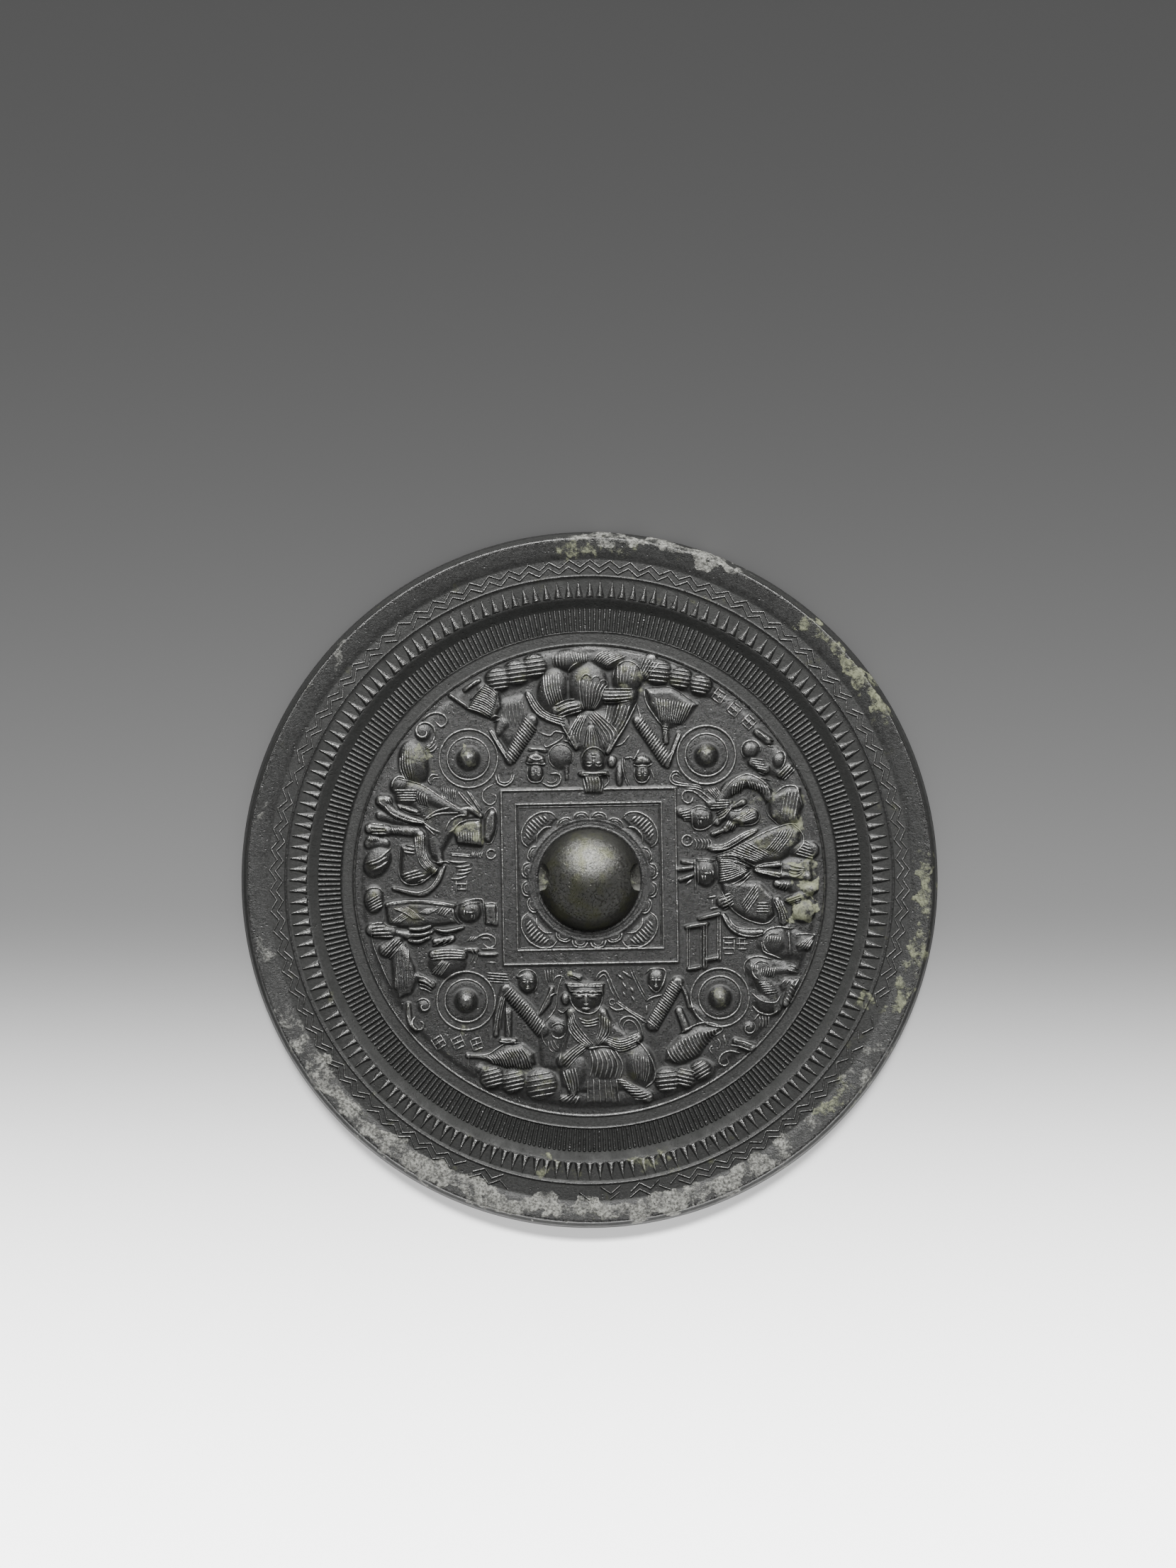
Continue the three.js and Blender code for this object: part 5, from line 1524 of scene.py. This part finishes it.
    def shallow_marks(self, x: float, y: float, columns: int, rows: int, turn: float) -> None:
        """Lay a small block of short, shallow bars that are no letters.

        Args:
            x: Centre, to the right.
            y: Centre, upwards.
            columns: How many upright bars it has.
            rows: How many level bars it has.
            turn: The turn of the block, in degrees.
        """
        place = placer(x, y, turn)
        for index in range(rows):
            level, reach = (index - (rows - 1) / 2) * 1.6, 2.1 if index % 2 else 1.5
            self.strokes.line(place([(-reach, level), (reach, level)]), 0.5)
        for index in range(columns):
            aside, reach = (index - (columns - 1) / 2) * 1.6, 1.3 if index % 2 else 2.1
            self.strokes.line(place([(aside, -reach), (aside, reach)]), 0.42)


# Finishes


@dataclass
class NodeSheet:
    """Places and links the nodes of one material or node group."""

    tree: bpy.types.NodeTree

    def add(self, kind: str, inputs: Optional[dict] = None, **settings: object) -> bpy.types.Node:
        """Place a node.

        Args:
            kind: Its type name.
            inputs: A value or a linked socket for each input, by name or number.
            **settings: The node's own properties.

        Returns:
            The node.
        """
        node = self.tree.nodes.new(kind)
        for name, value in settings.items():
            setattr(node, name, value)
        for name, value in (inputs or {}).items():
            if isinstance(value, bpy.types.NodeSocket):
                self.tree.links.new(value, node.inputs[name])
            else:
                node.inputs[name].default_value = value
        return node

    def math(self, operation: str, *values: Input, clamp: bool = False) -> bpy.types.NodeSocket:
        """Return the result of a Math node."""
        node = self.add("ShaderNodeMath", dict(enumerate(values)), operation=operation, use_clamp=clamp)
        return node.outputs[0]

    def times(self, first: Input, second: Input) -> bpy.types.NodeSocket:
        """Return the product of two values."""
        return self.math("MULTIPLY", first, second)

    def step(self, value: Input, low: Input, high: Input) -> bpy.types.NodeSocket:
        """Return a smooth step from 0 at the low value to 1 at the high one."""
        node = self.add("ShaderNodeMapRange", {0: value, 1: low, 2: high}, interpolation_type="SMOOTHSTEP")
        return node.outputs[0]

    def noise(self, vector: bpy.types.NodeSocket, scale: float, detail: float = 4.0,
              roughness: float = 0.6) -> bpy.types.NodeSocket:
        """Return the height of a noise with this many features to the millimetre.

        Args:
            vector: The place.
            scale: Features to the millimetre.
            detail: How many finer octaves it has.
            roughness: How strong they are.

        Returns:
            The height, about 0.5.
        """
        node = self.add("ShaderNodeTexNoise", {"Vector": vector, "Scale": scale / MM, "Detail": detail,
                                               "Roughness": roughness})
        return node.outputs["Fac"]

    def blend(self, share: Input, first: Input, second: Input) -> bpy.types.NodeSocket:
        """Return a colour that goes from the first to the second with the share."""
        node = self.add("ShaderNodeMix", {0: share, 6: first, 7: second}, data_type="RGBA")
        return node.outputs[2]


def new_group(name: str, inputs: dict[str, float],
              output: str) -> tuple[NodeSheet, bpy.types.Node, bpy.types.Node]:
    """Start a node group that reads a place and some numbers, and puts out one value.

    Args:
        name: The group's name.
        inputs: The default of each number, by name.
        output: The output's name.

    Returns:
        The group's sheet, its input node and its output node.
    """
    tree = bpy.data.node_groups.new(name, "ShaderNodeTree")
    tree.interface.new_socket("Place", in_out="INPUT", socket_type="NodeSocketVector")
    for label, value in inputs.items():
        socket = tree.interface.new_socket(label, in_out="INPUT", socket_type="NodeSocketFloat")
        socket.default_value = value
    tree.interface.new_socket(output, in_out="OUTPUT", socket_type="NodeSocketFloat")
    sheet = NodeSheet(tree)
    return sheet, sheet.add("NodeGroupInput"), sheet.add("NodeGroupOutput")


def patch_group() -> bpy.types.NodeTree:
    """Return the group for a patch of corrosion: a soft window in angle and radius.

    Returns:
        The group.
    """
    sheet, given, result = new_group("corrosion_patch", {
        "Angle": 0.0, "Half Angle": 10.0, "Radius": 100.0, "Half Radius": 4.0}, "Mask")
    place = sheet.add("ShaderNodeSeparateXYZ", {0: given.outputs["Place"]}).outputs
    radius = sheet.math("SQRT", sheet.math("ADD", sheet.times(place[0], place[0]),
                                           sheet.times(place[1], place[1])))
    turn = sheet.math("RADIANS", given.outputs["Angle"])
    along = sheet.math("ADD", sheet.times(place[0], sheet.math("COSINE", turn)),
                       sheet.times(place[1], sheet.math("SINE", turn)))
    apart = sheet.math("DEGREES", sheet.math("ARCCOSINE", sheet.math("DIVIDE", along, radius)))
    by_angle = sheet.math("DIVIDE", apart, given.outputs["Half Angle"])
    outwards = sheet.math("SUBTRACT", sheet.math("DIVIDE", radius, MM), given.outputs["Radius"])
    off = sheet.math("ABSOLUTE", outwards)
    by_radius = sheet.math("DIVIDE", off, given.outputs["Half Radius"])
    mask = sheet.times(sheet.step(by_angle, 1.15, 0.75), sheet.step(by_radius, 1.15, 0.75))
    sheet.tree.links.new(mask, result.inputs["Mask"])
    return sheet.tree


def grain_group() -> bpy.types.NodeTree:
    """Return the group for the cast skin's height: fine grain, soft waves and small pits.

    Returns:
        The group.
    """
    sheet, given, result = new_group("cast_grain", {"Pits": 1.0}, "Height")
    place = given.outputs["Place"]
    fine = sheet.times(sheet.noise(place, 2.3, 4, 0.75), 1.0)
    soft = sheet.times(sheet.noise(place, 0.45, 4, 0.6), 0.8)
    cells = sheet.add("ShaderNodeTexVoronoi", {"Vector": place, "Scale": 0.8 / MM}).outputs["Distance"]
    rare = sheet.step(sheet.noise(place, 0.25, 2), 0.5, 0.66)
    pits = sheet.times(sheet.times(sheet.step(cells, 0.3, 0.05), rare), given.outputs["Pits"])
    sheet.tree.links.new(sheet.math("SUBTRACT", sheet.math("ADD", fine, soft), pits), result.inputs["Height"])
    return sheet.tree


@dataclass(frozen=True)
class Patch:
    """A patch of corrosion, by its place on the mirror."""

    angle: float
    half_angle: float
    radius: float
    half_radius: float
    amount: float = 1.0


@dataclass(frozen=True)
class BronzeFinish:
    """Dark, almost neutral bronze, worn lighter on high forms, darkened in low places by patina and painted
    shade, and patched with corrosion.
    """

    name: str
    metal: tuple[float, float, float] = (0.106, 0.106, 0.104)
    worn: tuple[float, float, float] = (0.68, 0.68, 0.66)
    # Dark colour for low places: patina in the hollows together with painted shade.
    grime_and_shade: tuple[float, float, float] = (0.04, 0.041, 0.039)
    olive: tuple[float, float, float] = (0.165, 0.170, 0.110)
    pale: tuple[float, float, float] = (0.6, 0.6, 0.55)
    lime: tuple[float, float, float] = (0.42, 0.44, 0.29)
    metallic: float = 0.92
    roughness: float = 0.28
    specular: float = 0.5
    grain: float = 0.55
    olive_share: float = 0.0
    worn_from: float = 5.0
    worn_to: float = 6.2
    worn_share: float = 0.8
    # How strongly low places take that dark colour, patina and painted shade together.
    grime_and_shade_share: float = 0.6
    pale_patches: tuple[Patch, ...] = ()
    lime_patches: tuple[Patch, ...] = ()
    stray: float = 0.014

    def patches(self, sheet: NodeSheet, place: bpy.types.NodeSocket, group: bpy.types.NodeTree,
                patches: Sequence[Patch], breaks: bpy.types.NodeSocket) -> bpy.types.NodeSocket:
        """Return the mask of some patches, broken up by a noise.

        Args:
            sheet: The material's nodes.
            place: Object coordinates.
            group: The patch group.
            patches: The patches.
            breaks: The noise that breaks them up.

        Returns:
            The mask, from 0 to 1.
        """
        total = None
        for patch in patches:
            node = sheet.add("ShaderNodeGroup", {
                "Place": place, "Angle": patch.angle, "Half Angle": patch.half_angle, "Radius": patch.radius,
                "Half Radius": patch.half_radius}, node_tree=group)
            mask = sheet.times(node.outputs["Mask"], patch.amount)
            total = mask if total is None else sheet.math("MAXIMUM", total, mask)
        edge = sheet.math("SUBTRACT", 1.0, total)
        return sheet.step(breaks, edge, sheet.math("ADD", edge, 0.55))

    def build(self, patch: bpy.types.NodeTree, grain: bpy.types.NodeTree) -> bpy.types.Material:
        """Make the material.

        Args:
            patch: The group for a patch of corrosion.
            grain: The group for the cast skin.

        Returns:
            The material.
        """
        material = bpy.data.materials.new(self.name)
        material.use_nodes = True
        material.node_tree.nodes.clear()
        sheet = NodeSheet(material.node_tree)
        place = sheet.add("ShaderNodeTexCoord").outputs["Object"]
        height = sheet.math("DIVIDE", sheet.add("ShaderNodeSeparateXYZ", {0: place}).outputs[2], MM)
        cloud = sheet.noise(place, 0.06, 5, 0.6)
        fine = sheet.noise(place, 1.3, 5, 0.72)
        breaks = sheet.step(sheet.noise(place, 0.22, 8, 0.72), 0.28, 0.72)
        wander = sheet.add("ShaderNodeTexNoise", {"Vector": place, "Scale": 0.16 / MM, "Detail": 4.0})
        centred = sheet.add("ShaderNodeVectorMath", {0: wander.outputs["Color"], 1: (0.5, 0.5, 0.5)},
                            operation="SUBTRACT").outputs[0]
        stray = (self.stray, self.stray, 0)
        strayed = sheet.add("ShaderNodeVectorMath", {0: centred, 1: stray, 2: place},
                            operation="MULTIPLY_ADD").outputs[0]
        # The wear attribute: above zero the place wears lighter, below zero it takes the painted shade and
        # patina of recesses.
        wear = sheet.add("ShaderNodeAttribute", attribute_name="wear").outputs["Fac"]
        bare = sheet.math("MAXIMUM", sheet.step(height, self.worn_from, self.worn_to),
                          sheet.step(wear, 0.06, 0.36))
        worn = sheet.times(bare, sheet.step(fine, 0.3, 0.6))
        tone = sheet.math("MULTIPLY_ADD", sheet.step(fine, 0.3, 0.7), 0.7, sheet.times(cloud, 0.4))
        metal = sheet.blend(tone, (*(0.55 * c for c in self.metal), 1), (*(1.5 * c for c in self.metal), 1))
        # Darken places that lie below their surroundings: partly patina in the hollows, partly painted shade
        # in recesses and on the rim's outer bevel.
        grime_and_shade = sheet.times(sheet.step(wear, 0.0, -0.3), self.grime_and_shade_share)
        metal = sheet.blend(grime_and_shade, metal, (*self.grime_and_shade, 1))
        colour = sheet.blend(sheet.times(worn, self.worn_share), metal, (*self.worn, 1))
        olive = sheet.times(sheet.step(sheet.noise(place, 0.16, 5, 0.65), 0.62 - 0.3 * self.olive_share,
                                                  0.78 - 0.3 * self.olive_share),
                           sheet.step(height, 3.9, 4.9))
        colour = sheet.blend(sheet.times(olive, 0.75), colour, (*self.olive, 1))
        crust = sheet.times(sheet.step(sheet.noise(place, 0.9, 4, 0.75), 0.70, 0.78), 0.5)
        if self.lime_patches:
            lime = self.patches(sheet, strayed, patch, self.lime_patches, breaks)
            crumb = sheet.blend(sheet.step(fine, 0.3, 0.6), (*(0.45 * c for c in self.lime), 1),
                                (*self.lime, 1))
            colour = sheet.blend(sheet.times(lime, 0.85), colour, crumb)
            crust = sheet.math("MAXIMUM", crust, lime)
        if self.pale_patches:
            pale = self.patches(sheet, strayed, patch, self.pale_patches, breaks)
            stone = sheet.blend(sheet.step(fine, 0.36, 0.66), (*(0.2 * c for c in self.pale), 1),
                                (*self.pale, 1))
            colour = sheet.blend(sheet.times(pale, 0.9), colour, stone)
            crust = sheet.math("MAXIMUM", crust, pale)
        node = sheet.add("ShaderNodeGroup", {"Place": place}, node_tree=grain)
        relief = sheet.math("MULTIPLY_ADD", crust, 0.5, node.outputs["Height"])
        bump = sheet.add("ShaderNodeBump", {"Strength": self.grain, "Distance": 0.3 * MM, "Height": relief})
        rough = sheet.math("MULTIPLY_ADD", sheet.math("SUBTRACT", fine, 0.5), 0.12, self.roughness)
        rough = sheet.math("MULTIPLY_ADD", worn, -0.08, rough)
        dull = sheet.math("MAXIMUM", crust, grime_and_shade)
        shader = sheet.add("ShaderNodeBsdfPrincipled", {
            "Base Color": colour,
            "Metallic": sheet.times(sheet.math("SUBTRACT", 1.0, dull), self.metallic),
            "Roughness": sheet.math("MULTIPLY_ADD", dull, 0.35, rough, clamp=True),
            "Normal": bump.outputs[0],
            "Specular IOR Level": self.specular,
        })
        sheet.add("ShaderNodeOutputMaterial", {0: shader.outputs[0]})
        return material


RIM_PALE = (
    Patch(258, 58, 99.8, 3.3, 0.8), Patch(247, 24, 99.8, 3.3, 0.92), Patch(272, 24, 99.8, 3.3, 0.98),
    Patch(288, 22, 99.6, 3.3, 0.86),
    Patch(79, 17, 103.2, 2.0, 0.9), Patch(326, 9, 100, 3, 0.5), Patch(192, 4, 100.6, 2.2, 0.55),
    Patch(138, 3, 101.4, 1.6, 0.5), Patch(169.5, 2.6, 101, 1, 0.5),
)
RIM_LIME = (
    Patch(271, 5, 101.2, 2.2, 0.62), Patch(283, 5, 88, 3.4, 0.5), Patch(262, 3, 87.6, 2.6, 0.5),
    Patch(318, 5, 99.6, 3, 0.66), Patch(354, 11, 101.2, 2.8, 0.72), Patch(40, 12, 101.2, 2.8, 0.8),
    Patch(88, 7, 99.4, 3.4, 0.6), Patch(335.5, 2, 90.5, 3.4, 0.66), Patch(340, 5, 100.2, 2.8, 0.66),
)
FIELD_LIME = (
    Patch(357.6, 2.2, 66, 2.8, 1.0), Patch(351.8, 3.0, 65, 3.6, 1.0), Patch(3, 2.8, 64, 4.4, 0.8),
    Patch(157.5, 6, 39.8, 4.6, 0.62), Patch(257, 2.6, 27.1, 1.2, 0.8), Patch(15, 7, 63, 4, 0.6),
    Patch(72, 9, 60, 6, 0.42), Patch(20, 9, 55, 8, 0.42), Patch(236, 6, 60, 5, 0.45),
    Patch(144.5, 3, 62, 3.6, 0.6),
    Patch(135, 3, 51.7, 2.4, 0.6), Patch(318, 2, 52.9, 1.8, 0.62), Patch(47, 3, 51.6, 3, 0.48),
    Patch(255, 8, 62, 5, 0.4), Patch(175, 5, 27, 3, 0.45),
)
KNOB_LIME = (Patch(181, 13, 14.0, 1.7, 0.66), Patch(0, 11, 13.7, 1.3, 0.55))


# Studio


@dataclass
class Studio:
    """A plain pale floor, soft light from above the head of the picture, and the camera."""

    view_height: float = 0.4726
    distance: float = 1.31
    sensor: float = 36.0
    shift: Point = (-0.001, 0.0612)
    floor_half: float = 3.0
    floor_drop: float = 0.0002
    floor_grey: float = 0.4
    floor_roughness: float = 0.9
    surround_grey: float = 0.2

    def floor(self) -> bpy.types.Object:
        """Make the floor that the mirror lies on.

        Returns:
            The floor.
        """
        bm = bmesh.new()
        bmesh.ops.create_grid(bm, x_segments=1, y_segments=1, size=self.floor_half)
        bmesh.ops.translate(bm, verts=bm.verts, vec=(0, 0, -self.floor_drop))
        mesh = bpy.data.meshes.new("studio_floor")
        bm.to_mesh(mesh)
        bm.free()
        floor = bpy.data.objects.new("studio_floor", mesh)
        bpy.context.scene.collection.objects.link(floor)
        material = bpy.data.materials.new("pale_paper")
        material.use_nodes = True
        shader = material.node_tree.nodes["Principled BSDF"]
        shader.inputs["Base Color"].default_value = (*[self.floor_grey] * 3, 1)
        shader.inputs["Roughness"].default_value = self.floor_roughness
        mesh.materials.append(material)
        return floor

    def softbox(self, name: str, place: tuple[float, float, float], aim: tuple[float, float, float],
                size: tuple[float, float], power: float, spread: float = 180.0) -> bpy.types.Object:
        """Hang a soft rectangular light.

        Args:
            name: The light's name.
            place: Where it hangs, in metres.
            aim: The point it faces.
            size: Its width and height.
            power: Its power in watts.
            spread: How wide it throws, in degrees.

        Returns:
            The light.
        """
        data = bpy.data.lights.new(name, "AREA")
        data.shape = "RECTANGLE"
        data.size, data.size_y = size
        data.energy = power
        data.spread = math.radians(spread)
        light = bpy.data.objects.new(name, data)
        light.location = place
        light.rotation_euler = (Vector(place) - Vector(aim)).to_track_quat("Z", "Y").to_euler()
        bpy.context.scene.collection.objects.link(light)
        return light

    def link(self, light: bpy.types.Object, floor: bpy.types.Object, state: str) -> None:
        """Let a light reach only the floor, or everything but the floor.

        Args:
            light: The light.
            floor: The floor.
            state: INCLUDE to light only the floor, EXCLUDE to leave it out.
        """
        receivers = bpy.data.collections.new(light.name + "_receivers")
        receivers.objects.link(floor)
        receivers.collection_objects[0].light_linking.link_state = state
        light.light_linking.receiver_collection = receivers

    def camera(self) -> None:
        """Set the long lens straight above the mirror."""
        data = bpy.data.cameras.new("camera")
        data.sensor_fit = "VERTICAL"
        data.sensor_height = self.sensor
        data.sensor_width = self.sensor
        data.lens = self.sensor * self.distance / self.view_height
        data.shift_x, data.shift_y = self.shift
        camera = bpy.data.objects.new("camera", data)
        camera.location = (0, 0, self.distance + LEVELS.field * MM)
        bpy.context.scene.collection.objects.link(camera)
        bpy.context.scene.camera = camera

    def build(self) -> None:
        """Set up the floor, the lights, the grey surround and the camera."""
        floor = self.floor()
        self.link(self.softbox("key_light", (0.02, 0.95, 0.82), (0, 0, 0), (0.9, 0.6), 26), floor, "EXCLUDE")
        wash = self.softbox("floor_light", (0, -0.29, 0.18), (0, -0.285, 0), (1.3, 0.15), 7, 152)
        self.link(wash, floor, "INCLUDE")
        wash.light_linking.blocker_collection = wash.light_linking.receiver_collection
        foot = self.softbox("foot_light", (0, 0.16, 0.3), (0, -0.38, 0), (1.3, 0.06), 20, 56)
        self.link(foot, floor, "INCLUDE")
        world = bpy.data.worlds.new("studio")
        world.use_nodes = True
        world.node_tree.nodes["Background"].inputs[0].default_value = (*[self.surround_grey] * 3, 1)
        bpy.context.scene.world = world
        self.camera()


# Assembly


def triangles(piece: bpy.types.Object) -> int:
    """Return how many triangles a piece's mesh has."""
    return sum(len(polygon.vertices) - 2 for polygon in piece.data.polygons)


@dataclass
class BronzeMirror:
    """The whole mirror: the body, its rings, the field's relief and the knob."""

    bronze: bpy.types.Material
    rim: bpy.types.Material
    knob: bpy.types.Material
    tooth_count: int = 168
    bar_count: int = 336

    def place(self, piece: bpy.types.Object, material: bpy.types.Material, stands_for: bool = False) -> None:
        """Give a piece its finish, let it ride on the part, and report it.

        Args:
            piece: The piece.
            material: Its finish.
            stands_for: Whether it replaces the solids of the frame.
        """
        piece.data.materials.clear()
        piece.data.materials.append(material)
        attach(piece, BODY)
        if stands_for:
            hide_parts(*CAD_NODES)
        log.info("%s: %d triangles", piece.name, triangles(piece))

    def rings(self) -> None:
        """Build the body and the rings of ornament on it."""
        body = MirrorBody()
        teeth = Repeats("saw_tooth_ring", self.tooth_count)
        teeth.repeat(saw_tooth(self.tooth_count), 0.12)
        bars = Repeats("comb_ring", self.bar_count)
        bars.repeat(comb_bar(), 0.06)
        zigzag = Strokes("zigzag_ring", body.height)
        RimZigzag().draw(zigzag)
        disc = body.build()
        for piece in (disc, teeth.build(), bars.build(), zigzag.build()):
            mark_wear_and_shade(piece, body.mean)
            self.place(piece, self.rim, stands_for=piece is disc)

    def relief(self) -> None:
        """Raise and line the field, and build it in quarters with a piece of strokes for each group."""
        canvas = ReliefCanvas()
        strokes = [Strokes(name, canvas.sample) for name in (
            "court_lines", "lower_group_lines", "upper_group_lines", "left_group_lines", "right_group_lines",
            "corner_lines")]
        parts = [kind(canvas, lines) for kind, lines in zip(
            (Court, SouthGroup, NorthGroup, WestGroup, EastGroup, Corners), strokes)]
        for part in parts:
            part.raise_forms()
        canvas.soften(0.2)
        for part in parts:
            part.lay_strokes()
        canvas.survey([line for lines in strokes for line in lines.lines])
        pieces = [lines.build() for lines in strokes]
        pieces += [Quarter(name, canvas, side_x, side_y).build() for name, side_x, side_y in (
            ("field_upper_right", 1, 1), ("field_upper_left", -1, 1),
            ("field_lower_left", -1, -1), ("field_lower_right", 1, -1))]
        for piece in pieces:
            mark_wear_and_shade(piece, canvas.mean)
            self.place(piece, self.bronze)

    def build(self) -> None:
        """Build every piece."""
        self.rings()
        self.relief()
        self.place(Knob().build(), self.knob)


def main() -> None:
    """Build the finishes, the mirror and the studio."""
    logging.basicConfig(level=logging.INFO)
    patch, grain = patch_group(), grain_group()
    bronze = BronzeFinish("dark_bronze", olive_share=0.3, lime_patches=FIELD_LIME)
    # The rim takes the dark recess colour strongly: painted shade on its recesses and outer bevel, partly
    # patina.
    rim = BronzeFinish("rim_bronze", worn_from=20, worn_to=21, worn_share=0.7, grime_and_shade_share=0.95,
                       specular=0.12, pale_patches=RIM_PALE, lime_patches=RIM_LIME)
    knob = BronzeFinish("knob_bronze", metal=(0.115, 0.115, 0.104), metallic=0.9, roughness=0.32,
                        olive_share=0.5, worn_from=6.0, worn_to=9.0, worn_share=0.15, grain=0.5,
                        lime_patches=KNOB_LIME)
    BronzeMirror(*(finish.build(patch, grain) for finish in (bronze, rim, knob))).build()
    Studio().build()


if __name__ == "__main__":
    main()
